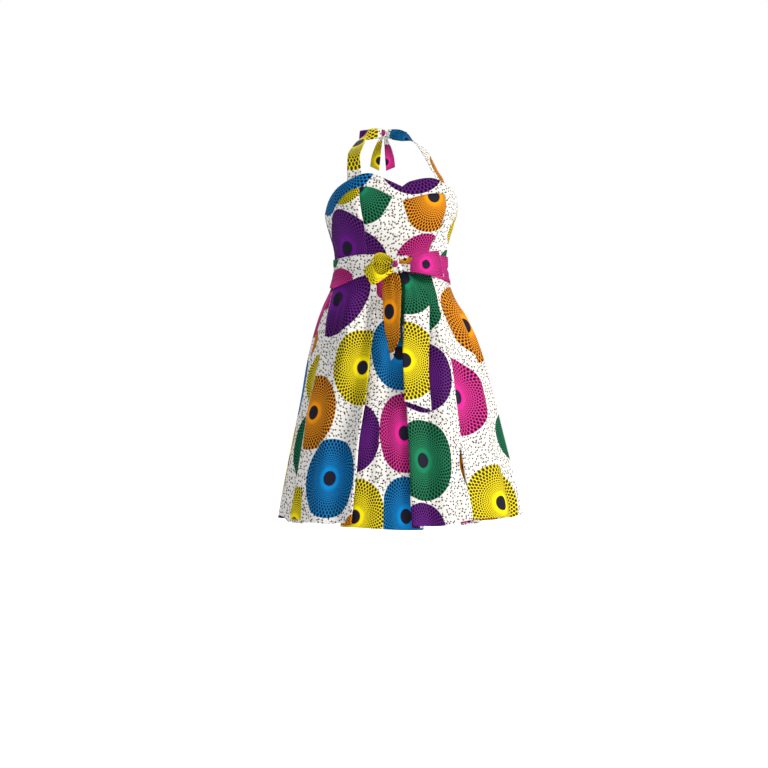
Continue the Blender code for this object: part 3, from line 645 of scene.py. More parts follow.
def wax_print():
    """Wax-resist printed plain-weave cotton: crisp dyed discs and dots on white, with a low sheen."""
    colours = bpy.context.scene.dress_print
    material, tree = new_material("Wax-resist printed plain-weave cotton")
    disc = add(tree, "UVMap", uv_map="Disc").outputs["UV"]
    cut = add(tree, "UVMap", uv_map="Cloth").outputs["UV"]
    tint = add(tree, "VertexColor", layer_name="Disc colour").outputs["Color"]
    split = add(tree, "SeparateXYZ", {0: disc})
    radius = add(tree, "VectorMath", {0: disc}, operation="LENGTH").outputs["Value"]
    turn = add(tree, "Math", {0: split.outputs["Y"], 1: split.outputs["X"]}, operation="ARCTAN2").outputs[0]
    # rings of dots: each ring is a constant share larger than the one inside it, and steps half a dot round
    around = add(tree, "Math", {0: turn, 1: DISC_DOTS / math.tau}, operation="MULTIPLY").outputs[0]
    log = add(tree, "Math", {0: radius, 1: math.e}, operation="LOGARITHM").outputs[0]
    ring = add(tree, "Math", {0: log, 1: RING_STEP}, operation="DIVIDE").outputs[0]
    ring_number = add(tree, "Math", {0: ring}, operation="FLOOR").outputs[0]
    odd = add(tree, "Math", {0: ring_number, 1: 2.0}, operation="FLOORED_MODULO").outputs[0]
    shifted = add(tree, "Math", {0: odd, 1: 0.5, 2: around}, operation="MULTIPLY_ADD").outputs[0]
    cell_x = add(tree, "Math", {0: add(tree, "Math", {0: shifted}, operation="FRACT").outputs[0], 1: 0.5},
                 operation="SUBTRACT").outputs[0]
    cell_y = add(tree, "Math", {0: add(tree, "Math", {0: ring}, operation="FRACT").outputs[0], 1: 0.5},
                 operation="SUBTRACT").outputs[0]
    # near the eye the dots are wide and thin, so that they read as fine rings, and outwards they lengthen
    wide = add(tree, "MapRange",
               {"Value": radius, "From Min": 0.3, "From Max": 0.9, "To Min": 0.46, "To Max": 0.34})
    tall = add(tree, "MapRange",
               {"Value": radius, "From Min": 0.3, "From Max": 0.9, "To Min": 0.2, "To Max": 0.6})
    dot_x = add(tree, "Math", {0: cell_x, 1: wide.outputs[0]}, operation="DIVIDE").outputs[0]
    dot_y = add(tree, "Math", {0: cell_y, 1: tall.outputs[0]}, operation="DIVIDE").outputs[0]
    dot_at = add(tree, "CombineXYZ", {0: dot_x, 1: dot_y}).outputs[0]
    dot_away = add(tree, "VectorMath", {0: dot_at}, operation="LENGTH").outputs["Value"]
    dots = add(tree, "MapRange", {"Value": dot_away, "From Min": 1.08, "From Max": 0.84}).outputs[0]
    beyond_ring = add(tree, "MapRange", {"Value": radius, "From Min": 0.27, "From Max": 0.33}).outputs[0]
    dots = add(tree, "Math", {0: dots, 1: beyond_ring}, operation="MULTIPLY").outputs[0]
    halo = add(tree, "MapRange", {"Value": radius, "From Min": 0.32, "From Max": 0.24}).outputs[0]
    lit = add(tree, "HueSaturation", {"Color": tint, "Saturation": 1.03, "Value": 1.18}).outputs[0]
    dyed = mixed(tree, halo, tint, lit)
    dark = add(tree, "HueSaturation", {"Color": tint, "Saturation": 1.0, "Value": 0.045}).outputs[0]
    dotted = mixed(tree, dots, dyed, dark)
    eye = add(tree, "MapRange",
              {"Value": radius, "From Min": EYE + EYE_EDGE, "From Max": EYE - EYE_EDGE}).outputs[0]
    eyed = mixed(tree, eye, dotted, (*colours.navy, 1.0))
    # the ground: small black dots scattered on white, and a hair line between two that lie near each other
    spacing = 1.0 / colours.dot_spacing
    near, next_near = (add(tree, "TexVoronoi", {"Vector": cut, "Scale": spacing, "Randomness": 0.8},
                           voronoi_dimensions="2D", feature=feature) for feature in ("F1", "F2"))
    link = add(tree, "VectorMath", {0: next_near.outputs["Position"], 1: near.outputs["Position"]},
               operation="SUBTRACT").outputs[0]
    here = add(tree, "VectorMath", {0: cut, 1: near.outputs["Position"]}, operation="SUBTRACT").outputs[0]
    cross = add(tree, "VectorMath", {0: link, 1: here}, operation="CROSS_PRODUCT").outputs[0]
    link_length = add(tree, "VectorMath", {0: link}, operation="LENGTH").outputs["Value"]
    cross_length = add(tree, "VectorMath", {0: cross}, operation="LENGTH").outputs["Value"]
    off_link = add(tree, "Math", {0: cross_length, 1: link_length}, operation="DIVIDE").outputs[0]
    on_link = add(tree, "MapRange",
                  {"Value": off_link, "From Min": 0.00055, "From Max": 0.00015}).outputs[0]
    joined = add(tree, "MapRange", {"Value": link_length, "From Min": colours.dot_spacing * 1.06,
                                    "From Max": colours.dot_spacing * 0.98, "To Max": 0.75}).outputs[0]
    hair = add(tree, "Math", {0: on_link, 1: joined}, operation="MULTIPLY").outputs[0]
    black = add(tree, "MapRange",
                {"Value": near.outputs["Distance"], "From Min": 0.245, "From Max": 0.195}).outputs[0]
    specks = add(tree, "TexVoronoi", {"Vector": cut, "Scale": spacing * 1.5, "Randomness": 0.9},
                 voronoi_dimensions="2D")
    patches = add(tree, "TexNoise", {"Vector": cut, "Scale": 26.0, "Detail": 1.0}, noise_dimensions="2D")
    small = add(tree, "MapRange",
                {"Value": specks.outputs["Distance"], "From Min": 0.2, "From Max": 0.15}).outputs[0]
    where = add(tree, "MapRange",
                {"Value": patches.outputs[0], "From Min": 0.55, "From Max": 0.62}).outputs[0]
    small = add(tree, "Math", {0: small, 1: where}, operation="MULTIPLY").outputs[0]
    marks = add(tree, "Math", {0: add(tree, "Math", {0: black, 1: small},
                                      operation="MAXIMUM").outputs[0], 1: hair},
                operation="MAXIMUM").outputs[0]
    ground = add(tree, "Mix", {"Factor": marks}, data_type="RGBA")
    ground.inputs[6].default_value = (*colours.ground, 1.0)
    ground.inputs[7].default_value = (*linear("17151B"), 1.0)
    inside = add(tree, "MapRange", {"Value": radius, "From Min": 1.004, "From Max": 0.99}).outputs[0]
    printed = add(tree, "Mix", {"Factor": inside}, data_type="RGBA")
    tree.links.new(ground.outputs[2], printed.inputs[6])
    tree.links.new(eyed, printed.inputs[7])
    # uneven dye, and the plain weave: threads over and under each other, drawn about three times too coarse
    uneven = add(tree, "TexNoise", {"Vector": cut, "Scale": 55.0, "Detail": 3.0}, noise_dimensions="2D")
    wash = add(tree, "MapRange", {"Value": uneven.outputs[0], "To Min": 0.93, "To Max": 1.05}).outputs[0]
    toned = add(tree, "HueSaturation", {"Color": printed.outputs[2], "Value": wash}).outputs[0]
    threads = []
    for direction in ("X", "Y"):
        wave = add(tree, "TexWave", {"Vector": cut, "Scale": 0.314 / colours.thread, "Distortion": 0.4,
                                     "Detail": 1.0}, bands_direction=direction)
        threads.append(wave.outputs["Fac"])
    weave = add(tree, "Math", {0: threads[0], 1: threads[1]}, operation="MULTIPLY").outputs[0]
    rumple = add(tree, "TexNoise", {"Vector": cut, "Scale": 90.0, "Detail": 2.0},
                 noise_dimensions="2D").outputs[0]
    bump = add(tree, "Bump", {"Height": weave, "Strength": 0.12, "Distance": 0.0003})
    crumple = add(tree, "Bump", {"Height": rumple, "Strength": 0.25, "Distance": 0.0012,
                                 "Normal": bump.outputs[0]})
    shader = add(tree, "BsdfPrincipled",
                 {"Base Color": toned, "Normal": crumple.outputs[0], "Roughness": 0.72,
                                          "Specular IOR Level": 0.12, "Sheen Weight": 0.02,
                                          "Sheen Roughness": 0.4})
    output = add(tree, "OutputMaterial", {"Surface": shader.outputs[0]})
    output.is_active_output = True
    return material


def zip_tape_material():
    """Woven polyester zip tape: a close twill in off-white."""
    material, tree = new_material("Woven polyester zip tape")
    cut = add(tree, "UVMap", uv_map="Cloth").outputs["UV"]
    twill = add(tree, "TexWave", {"Vector": cut, "Scale": 260.0, "Distortion": 0.3},
                bands_direction="DIAGONAL")
    bump = add(tree, "Bump", {"Height": twill.outputs["Fac"], "Strength": 0.3, "Distance": 0.0004})
    shade = add(tree, "MapRange", {"Value": twill.outputs["Fac"], "To Min": 0.9, "To Max": 1.0}).outputs[0]
    tone = add(tree, "HueSaturation", {"Color": (*linear("E4E1DA"), 1.0), "Value": shade}).outputs[0]
    shader = add(tree, "BsdfPrincipled", {"Base Color": tone, "Normal": bump.outputs[0], "Roughness": 0.8})
    add(tree, "OutputMaterial", {"Surface": shader.outputs[0]})
    return material


def zip_metal():
    """Nickel-plated die-cast zinc: bright, with fine tumbling marks."""
    material, tree = new_material("Nickel-plated zinc")
    where = add(tree, "TexCoord").outputs["Object"]
    marks = add(tree, "TexNoise", {"Vector": where, "Scale": 1400.0, "Detail": 3.0})
    rough = add(tree, "MapRange", {"Value": marks.outputs[0], "To Min": 0.2, "To Max": 0.42}).outputs[0]
    bump = add(tree, "Bump", {"Height": marks.outputs[0], "Strength": 0.15, "Distance": 0.0001})
    shader = add(tree, "BsdfPrincipled", {"Base Color": (*linear("CFCBC4"), 1.0), "Metallic": 1.0,
                                          "Roughness": rough, "Normal": bump.outputs[0]})
    add(tree, "OutputMaterial", {"Surface": shader.outputs[0]})
    return material


def shared(build):
    """A material made once and used by every piece of that cloth or metal."""
    key = "dress_" + build.__name__
    for material in bpy.data.materials:
        if material.get("made_by") == key:
            return material
    material = build()
    material["made_by"] = key
    return material


# ---------------------------------------------------------------- bodice


def band_low(angle):
    """Lower edge of the neckline band."""
    return interpolate(BAND_LOW_LEFT if angle < SWEETHEART else BAND_LOW_RIGHT, angle)[0]


def neckline(angle):
    """The sweetheart edge."""
    return interpolate(NECKLINE_LEFT if angle < SWEETHEART else NECKLINE_RIGHT, angle)[0]


def back_top(angle):
    """Top edge of the back, which dips to the centre."""
    share = (abs(angle) - SIDE_SEAM) / (BACK_SEAM - SIDE_SEAM)
    return mix(BACK_TOP_SIDE, BACK_TOP_CENTRE, math.sin(share * math.pi / 2))


def edge_roll(distance):
    """How far cloth turns in at a seam, at a distance from it."""
    return SEAM_ROLL * math.exp(-(distance / SEAM_ROLL_WIDTH) ** 2)


def bodice_spots(left, right, bottom, top, columns, rows, seam_top=True):
    """Spots of a bodice panel between two seams and two edges, whose cloth turns in at each seam."""
    spots = []
    for row in range(rows + 1):
        line, before, s = [], None, 0.0
        for column in range(columns + 1):
            across, up = column / columns, row / rows
            height = mix(WAIST, -180.0, up)
            for _ in range(5):
                angle = mix(left(height), right(height), across)
                height = mix(bottom(angle), top(angle), up)
            reach = 1.0 / degrees_of(1.0, angle, height)
            width = (right(height) - left(height)) * reach
            tall = top(angle) - bottom(angle)
            inset = SEAM / reach * (1 if column == 0 else -1 if column == columns else 0)
            turned = edge_roll(across * width) + edge_roll((1 - across) * width)
            turned += edge_roll((1 - up) * tall) if seam_top else 0.0
            depth = turned + sink(BODICE_CREASES, angle, height, reach)
            point = place(angle + inset, height, -depth)
            s += (point - before).length if before else 0.0
            line.append((point, s, height, angle))
            before = point
        middle = line[len(line) // 2][1]
        spots.append([Spot(point, s - middle, height, angle, 0) for point, s, height, angle in line])
    return spots


def under_band(angle):
    """Top edge of a front panel, just under the band."""
    return band_low(angle) - SEAM


def waist_edge(_):
    """Lower edge of the bodice."""
    return WAIST + SEAM


def princess_left(height):
    """The left princess seam."""
    return interpolate(PRINCESS, height)[0]


def princess_right(height):
    """The right princess seam."""
    return interpolate(PRINCESS, height)[1]


def side_left(_):
    """The left side seam."""
    return -SIDE_SEAM


def side_right(_):
    """The right side seam."""
    return SIDE_SEAM


def back_left(_):
    """The centre back seam, reached from the left."""
    return -BACK_SEAM


def back_right(_):
    """The centre back seam, reached from the right."""
    return BACK_SEAM


class DRESS_OT_bodice(bpy.types.Operator):
    """Cut the front in three panels with a shaped band above them, and the back in two"""
    bl_idname = "dress.bodice"
    bl_label = "Bodice"

    def execute(self, context):
        wall = context.scene.dress_cloth.wall
        cotton = shared(wax_print)
        panels = (
            ("front_center_panel", princess_left, princess_right, waist_edge, under_band, 42, 34,
             CENTRE_DISCS,
             "bodice_front_center", "print_white", True),
            ("front_side_panel_left", side_left, princess_left, waist_edge, under_band, 24, 30,
             SIDE_LEFT_DISCS,
             "bodice_front_side_left", "print_purple", True),
            ("front_side_panel_right", princess_right, side_right, waist_edge, under_band, 22, 30,
             SIDE_RIGHT_DISCS, "bodice_front_side_right", "print_white", True),
            ("back_panel_left", back_left, side_left, waist_edge, back_top, 36, 22, BACK_LEFT_DISCS,
             "bodice_back_left", "print_white", False),
            ("back_panel_right", side_right, back_right, waist_edge, back_top, 36, 22, BACK_RIGHT_DISCS,
             "bodice_back_right", "print_white", False),
        )
        for name, left, right, bottom, top, columns, rows, discs, node, slot, seam_top in panels:
            spots = bodice_spots(left, right, bottom, top, columns, rows, seam_top)
            cloth(name, spots, discs, wall, cotton, node)
        angles = [mix(-SIDE_SEAM, SWEETHEART, step / 44) for step in range(45)]
        angles += [mix(SWEETHEART, SIDE_SEAM, step / 44) for step in range(1, 45)]
        spots, rows = [], 7
        for row in range(rows + 1):
            line, before, s = [], None, 0.0
            for angle in angles:
                low, high = band_low(angle) + SEAM, neckline(angle)
                height = mix(low, high, row / rows)
                depth = edge_roll(height - low) + sink(BODICE_CREASES, angle, height, 2.5)
                depth -= 0.5 * math.exp(-((high - height) / 3.0) ** 2)
                point = place(angle, height, -depth)
                s += (point - before).length if before else 0.0
                line.append((point, s, height, angle))
                before = point
            middle = line[44][1]
            spots.append([Spot(point, s - middle, height, angle, 0) for point, s, height, angle in line])
        cloth("neckline_band_cloth", spots, BAND_DISCS, context.scene.dress_cloth.band, cotton,
              "neckline_band")
        return {"FINISHED"}


# ---------------------------------------------------------------- skirt


def fold_angle(fold, share):
    """Angle of a fold at a share of the skirt's length."""
    return interpolate(list(zip(FOLD_SHARES, fold.angles)), share)[0]


def section(folds, valleys, start, end, share, counts):
    """One level of the skirt as angle, depth, line and panel. A spot's line is its angle once the
    tucked layers are opened out."""
    height = mix(WAIST, -950.0, share)
    path, begin, begin_depth = [], start, 0.0
    for number, valley in enumerate(valleys):
        last = number == len(folds)
        fold = None if last else folds[number]
        layer = 0.0 if last else mix(LAYER_AT_WAIST, LAYER_AT_HEM, share) * fold.pinch
        tuck = 0.0 if last else mix(TUCK_AT_WAIST, TUCK_AT_HEM, share) * fold.pinch
        line = end if last else fold_angle(fold, share)
        over = last or fold.front_side > 0
        hidden = 0.0 if last else degrees_of(tuck, line, height)
        finish_at = line if over else line + hidden
        finish_depth = 0.0 if over else 2 * layer
        for step in range(counts[number] + 1):
            s = step / counts[number]
            angle = mix(begin, finish_at, s)
            depth = mix(begin_depth, finish_depth, smooth(s)) + valley * share * math.sin(math.pi * s) ** 2
            path.append((angle, depth, angle, number))
        if last:
            break
        near, far = (line, line - hidden) if over else (line + hidden, line)
        turn_depth = (layer / 2, 3 * layer / 2) if over else (3 * layer / 2, layer / 2)
        way = 1 if over else -1
        ridge = number if over else number + 1
        reach = degrees_of(layer / 2, line, height)
        for spot, centre, bulge in ((near, turn_depth[0], 1), (far, turn_depth[1], -1)):
            for step in range(1, TURN_STEPS):
                swing = math.pi * (step / TURN_STEPS - 0.5)
                path.append((spot + bulge * reach * math.cos(swing),
                             centre + way * layer / 2 * math.sin(swing), 2 * line - spot, ridge))
            if bulge > 0:
                for step in range(TUCK_STEPS + 1):
                    angle = mix(near, far, step / TUCK_STEPS)
                    path.append((angle, layer, 2 * line - angle, ridge))
        begin, begin_depth = far, 2 * layer if over else 0.0
    return path


def skirt_spots(folds, valleys, start, end, counts, falls, rows):
    """Spots of a pleated piece of the skirt, whose hidden layers hang a little lower."""
    spots = []
    for row in range(rows, -1, -1):
        share = row / rows
        layer = mix(LAYER_AT_WAIST, LAYER_AT_HEM, share)
        top_gather = 1.0 - smooth(share / 0.02)
        line, before, s = [], None, 0.0
        for angle, depth, opened, panel in section(folds, valleys, start, end, share, counts):
            hem = interpolate(HEM, angle)[0] - UNDERLAY_DROP * smooth(depth / (2 * layer)) * share
            height = mix(WAIST - SEAM, hem, share)
            reach = mix(2.5, 5.0, share)
            crease = fall_depth(falls, angle, height, reach) * (1.0 - top_gather)
            point = place(angle, height, -depth - crease)
            s += (point - before).length if before else 0.0
            line.append((point, s, height, opened, panel))
            before = point
        middle = line[len(line) // 2][1]
        spots.append([Spot(point, s - middle, height, opened, panel) for point, s, height, opened,
                      panel in line])
    return spots


def stretch_tall(discs):
    """The skirt's discs, whose height is told in the frame and not along the slanting cloth."""
    return [disc._replace(up=disc.up / SKIRT_SLOPE) for disc in discs]


class DRESS_OT_skirt(bpy.types.Operator):
    """Pleat the skirt's front and its two backs"""
    bl_idname = "dress.skirt"
    bl_label = "Skirt"

    def execute(self, context):
        wall = context.scene.dress_cloth.wall
        cotton = shared(wax_print)
        gap = SEAM / 2
        parts = (
            ("skirt_front_cloth", FRONT_FOLDS, FRONT_VALLEYS, -SIDE_SEAM + gap, SIDE_SEAM - gap,
             (14, 8, 40, 32, 34, 10, 48), FRONT_FALLS, FRONT_DISCS, "skirt_front"),
            ("skirt_back_cloth_right", RIGHT_BACK_FOLDS, RIGHT_BACK_VALLEYS, SIDE_SEAM + gap,
             BACK_SEAM - gap,
             (22, 28, 36), BACK_FALLS, SKIRT_RIGHT_DISCS, "skirt_back_right"),
            ("skirt_back_cloth_left", LEFT_BACK_FOLDS, LEFT_BACK_VALLEYS, -BACK_SEAM + gap,
             -SIDE_SEAM - gap,
             (36, 28, 22), BACK_FALLS, SKIRT_LEFT_DISCS, "skirt_back_left"),
        )
        for name, folds, valleys, start, end, counts, falls, discs, node in parts:
            spots = skirt_spots(folds, valleys, start, end, counts, falls, 108)
            cloth(name, spots, stretch_tall(discs), wall, cotton, node)
        return {"FINISHED"}


# ---------------------------------------------------------------- sash and bow


class DRESS_OT_sash(bpy.types.Operator):
    """Wind the sash round the waist, with its long soft folds"""
    bl_idname = "dress.sash"
    bl_label = "Sash"

    def execute(self, context):
        steps, levels = 150, 14
        spots = []
        for level in range(levels + 1):
            line, before, s = [], None, 0.0
            for step in range(steps + 1):
                angle = mix(-180.0, 180.0, step / steps)
                top, bottom = interpolate(SASH, angle if step < steps else -180.0)
                up = level / levels
                swell = 1.4 * math.sin(math.pi * up) ** 0.5
                height = mix(bottom, top, up)
                depth = sink(SASH_CREASES, angle, height, 2.3)
                point = place(angle if step < steps else -180.0, height, SASH_OUT + swell - depth)
                s += (point - before).length if before else 0.0
                line.append((point, s, height, angle))
                before = point
            middle = line[steps // 2][1]
            spots.append([Spot(point, s - middle, height, angle, 0) for point, s, height, angle in line])
        cloth("sash_cloth", spots, SASH_DISCS, context.scene.dress_cloth.band, shared(wax_print),
              "sash_wrap",
              ring=True)
        return {"FINISHED"}


Gather = namedtuple("Gather", "across depth width")


INSIDE = 1000.0          # added to a disc's line where a loop shows the inside of its far half


def ribbon_spots(stations, columns, steps, side=1, bow=0.0, gathers=(), gather_ends=(True, True), turn=99):
    """Spots of a strip between two edges. Its gathers are soft folds that run out from its knotted ends."""
    table = [(index, *station) for index, station in enumerate(stations)]
    count = (len(stations) - 1) * steps
    spots, t, before_middle = [], 0.0, None
    for row in range(count + 1):
        at = row / steps
        values = interpolate(table, at)
        first, second = Vector(values[:3]), Vector(values[3:])
        ahead = interpolate(table, min(at + 0.2, len(stations) - 1))
        behind = interpolate(table, max(at - 0.2, 0))
        along = Vector(ahead[:3]) + Vector(ahead[3:]) - Vector(behind[:3]) - Vector(behind[3:])
        out = (second - first).cross(along).normalized()
        near_start = 1 - smooth(row / count / 0.45) if gather_ends[0] else 0.0
        near_end = 1 - smooth((1 - row / count) / 0.45) if gather_ends[1] else 0.0
        pinch = 0.25 + 0.75 * max(near_start, near_end)
        line = []
        for column in range(columns + 1):
            across = column / columns
            lift = bow * math.sin(math.pi * across)
            for gather in gathers:
                lift -= pinch * gather.depth * math.exp(-((across - gather.across) / gather.width) ** 2)
            point = first.lerp(second, across) + out * lift
            line.append(Vector((point.x * side, point.y, point.z)))
        middle = line[columns // 2]
        t += (middle - before_middle).length if before_middle else 0.0
        before_middle = middle
        width = (line[-1] - line[0]).length
        inside = INSIDE if at > turn else 0.0
        row_spots = []
        for column, point in enumerate(line):
            s = width * (column / columns - 0.5)
            row_spots.append(Spot(point, s, t, s + inside, 0))
        if side < 0:
            row_spots = [spot._replace(s=-spot.s, line=-spot.line) for spot in row_spots[::-1]]
        spots.append(row_spots)
    return spots


def tail_spots(stations, slant, tilt, columns, steps, gathers):
    """Spots of a sash end lying on the skirt, between two angles at each height."""
    bottom, top = stations[0].height, stations[-1].height
    count = (len(stations) - 1) * steps
    spots = []
    for row in range(count + 1):
        height = mix(bottom, top, row / count)
        left, right, out = interpolate(stations, height)
        pinch = 0.2 + 0.8 * smooth((row / count - 0.55) / 0.45)
        line, before, s = [], None, 0.0
        for column in range(columns + 1):
            across = column / columns
            lower = slant * across * (1 - row / count)
            lift = 1.5 * math.sin(math.pi * across) + tilt * (across - 0.5)
            for gather in gathers:
                lift -= pinch * gather.depth * math.exp(-((across - gather.across) / gather.width) ** 2)
            angle = mix(left, right, across)
            point = place(angle, height - lower, out + lift)
            s += (point - before).length if before else 0.0
            line.append((point, s, height - lower, angle))
            before = point
        spots.append([Spot(point, s, z, angle, 0) for point, s, z, angle in line])
    return spots


def knot_mesh(centre, half, wraps):
    """A pulled knot: an egg of cloth, and the wraps that cross it. A wrap has its slant in degrees, how
    far it stands out, its width and how far it lies to the side."""
    mesh = bmesh.new()
    bmesh.ops.create_uvsphere(mesh, u_segments=48, v_segments=32, radius=1.0)
    uv = mesh.loops.layers.uv.new("Cloth")
    disc = mesh.loops.layers.uv.new("Disc")
    tint = mesh.loops.layers.float_color.new("Disc colour")
    for vertex in mesh.verts:
        x, y, z = vertex.co
        fold = 1.0 - 0.07 * math.cos(9 * (z + 0.5 * x)) - 0.12 * math.exp(-(z / 0.4) ** 2)
        vertex.co = Vector((x * half.x * fold, y * half.y * fold, z * half.z)) * 0.86
    for slant, stand, width, aside in wraps:
        turn = Matrix.Rotation(math.radians(slant), 4, "Y")
        strip = bmesh.ops.create_grid(mesh, x_segments=48, y_segments=16, size=1.0)["verts"]
        for vertex in strip:
            round_turn, across = (vertex.co.x + 1) * math.pi, (vertex.co.y + 1) * math.pi
            edge = width * math.cos(across)
            crease = 0.7 * math.cos(edge * 1.6) if math.sin(across) > 0 else 0.0
            out = stand + 1.4 * math.sin(across) + crease
            belly = math.cos(math.asin(min(abs(aside + edge) / half.x, 0.9)))
            ring = Vector((aside + edge, -(half.y * belly + out) * math.cos(round_turn),
                           (half.z * belly * 0.92 + out) * math.sin(round_turn)))
            vertex.co = turn @ ring
        bmesh.ops.remove_doubles(mesh, verts=strip, dist=1e-4)
    for face in mesh.faces:
        for loop in face.loops:
            x, y, z = loop.vert.co
            loop[uv].uv = (math.atan2(x, -y) * half.x * MM, z * MM)
            loop[disc].uv = ((x + 5) / 8, (z - 2) / 8) if y < 0 else (9.0, 9.0)
            loop[tint] = (*bpy.context.scene.dress_print.pink, 1.0)
    bmesh.ops.recalc_face_normals(mesh, faces=mesh.faces)
    bmesh.ops.translate(mesh, vec=centre, verts=mesh.verts)
    bmesh.ops.scale(mesh, vec=Vector((MM, MM, MM)), verts=mesh.verts)
    return mesh


LOOP_LEFT_GATHERS = (Gather(0.3, 3.0, 0.1), Gather(0.62, 2.4, 0.08), Gather(0.82, -1.5, 0.1))
LOOP_RIGHT_GATHERS = (Gather(0.2, 2.4, 0.07), Gather(0.42, 3.4, 0.09), Gather(0.6, -1.6, 0.08),
                      Gather(0.78, 2.6, 0.08))
TAIL_GATHERS = (Gather(0.3, 2.4, 0.1), Gather(0.68, 2.8, 0.1))
# The big disc is the outside's print. The two inside discs put their dense outer dots in the loop's hollow:
# painted shade that darkens the hollow where the real loop lies in shade.
LOOP_LEFT_DISCS_AND_PAINTED_SHADE = (
    Disc(0, -58, 40, "yellow", 180, 180), Disc(0, INSIDE - 58, 118, "yellow", 66, 66),
    Disc(0, INSIDE + 60, 118, "yellow", 66, 66),
)
LOOP_LEFT_TURN = 5.2     # the station from which the loop shows its inside
LOOP_RIGHT_DISCS = (
    Disc(0, 2, 66, "pink", 60, 56), Disc(0, -13, 14, "orange", 13, 26),
    Disc(0, 9, 12, "ground", 17, 24), Disc(0, 0, 190, "purple", 60, 60),
)
TAIL_SHORT_DISCS = (Disc(0, -11.3, -462, "orange", 54, 98),)
TAIL_LONG_DISCS = (Disc(0, 3, -380, "green", 86, 88), Disc(0, -3.5, -576, "yellow", 92, 93))


class DRESS_OT_bow(bpy.types.Operator):
    """Tie the sash's bow: its knot, two loops and two hanging ends"""
    bl_idname = "dress.bow"
    bl_label = "Bow"

    def execute(self, context):
        cotton = shared(wax_print)
        wall = context.scene.dress_cloth.band
        left = ribbon_spots(BOW_LOOP_LEFT, 18, 8, gathers=LOOP_LEFT_GATHERS, turn=LOOP_LEFT_TURN)
        cloth("bow_loop_left", left, LOOP_LEFT_DISCS_AND_PAINTED_SHADE, wall, cotton, "sash_loop_left")
        cloth("bow_loop_right", ribbon_spots(BOW_LOOP_RIGHT, 20, 8, gathers=LOOP_RIGHT_GATHERS),
              LOOP_RIGHT_DISCS, wall, cotton, "sash_loop_right")
        cloth("bow_end_short", tail_spots(TAIL_SHORT, 0.0, TAIL_SHORT_TILT, 14, 9, TAIL_GATHERS),
              TAIL_SHORT_DISCS, wall, cotton,
              "sash_tail_short")
        cloth("bow_end_long", tail_spots(TAIL_LONG, TAIL_LONG_SLANT, TAIL_LONG_TILT, 18, 10, TAIL_GATHERS),
              TAIL_LONG_DISCS,
              wall, cotton, "sash_tail_long")
        low, high = (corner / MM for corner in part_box("sash_knot"))
        mesh = knot_mesh((low + high) / 2, (high - low) / 2, ((-38, 1.0, 5.5, 3.0), (18, -1.0, 4.5, -4.0)))
        finish("bow_knot", mesh, cotton, "sash_knot")
        return {"FINISHED"}


STRAP_LEFT_DISCS = (Disc(0, 6, 150, "yellow", 70, 115),)
STRAP_RIGHT_DISCS = (Disc(0, 30, 46, "orange", 32, 62), Disc(0, 10, 210, "blue", 40, 50))
NECK_LOOP_DISCS = (Disc(0, 0, 58, "purple", 60, 40),)
NECK_TAIL_LEFT_DISCS = (Disc(0, 10, 60, "yellow", 50, 50),)
NECK_TAIL_RIGHT_DISCS = (Disc(0, -12, 62, "pink", 50, 44),)
NECK_GATHERS = (Gather(0.35, 1.2, 0.14), Gather(0.7, 1.0, 0.14))


class DRESS_OT_halter(bpy.types.Operator):
    """Carry the two straps over the shoulders and tie them in a small bow at the nape"""
    bl_idname = "dress.halter"
    bl_label = "Halter"

    def execute(self, context):
        cotton = shared(wax_print)
        wall = context.scene.dress_cloth.band
        sides = (("left", -1, STRAP_LEFT, STRAP_LEFT_DISCS, NECK_TAIL_LEFT_DISCS, "print_yellow"),
                 ("right", 1, STRAP_RIGHT, STRAP_RIGHT_DISCS, NECK_TAIL_RIGHT_DISCS, "print_white"))
        for word, side, strap, discs, end_discs, slot in sides:
            spots = ribbon_spots(strap, 8, 8, bow=-side * 1.0, gathers=NECK_GATHERS,
                                 gather_ends=(False, True))
            cloth("halter_band_" + word, spots, discs, wall, cotton, "halter_strap_" + word,
                  flip=side > 0)
            spots = ribbon_spots(NECK_LOOP, 8, 7, side=side, gathers=NECK_GATHERS)
            cloth("nape_loop_" + word, spots, NECK_LOOP_DISCS, wall, cotton, "halter_loop_" + word)
            spots = ribbon_spots(NECK_TAIL, 8, 8, side=side, bow=1.0, gathers=NECK_GATHERS,
                                 gather_ends=(True, False))
            cloth("nape_end_" + word, spots, end_discs, wall, cotton, "halter_tail_" + word)
        low, high = (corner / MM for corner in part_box("halter_knot"))
        mesh = knot_mesh((low + high) / 2, (high - low) / 2, ((-24, 0.5, 4.0, 1.5),))
        finish("nape_knot", mesh, cotton, "halter_knot")
        return {"FINISHED"}


# ---------------------------------------------------------------- zip

ZIP_BOTTOM = -520.0
ZIP_TOP = -239.0
ZIP_HALF_WIDTH = 11.0
ZIP_DEPTH = 3.6
COIL_PITCH = 2.2


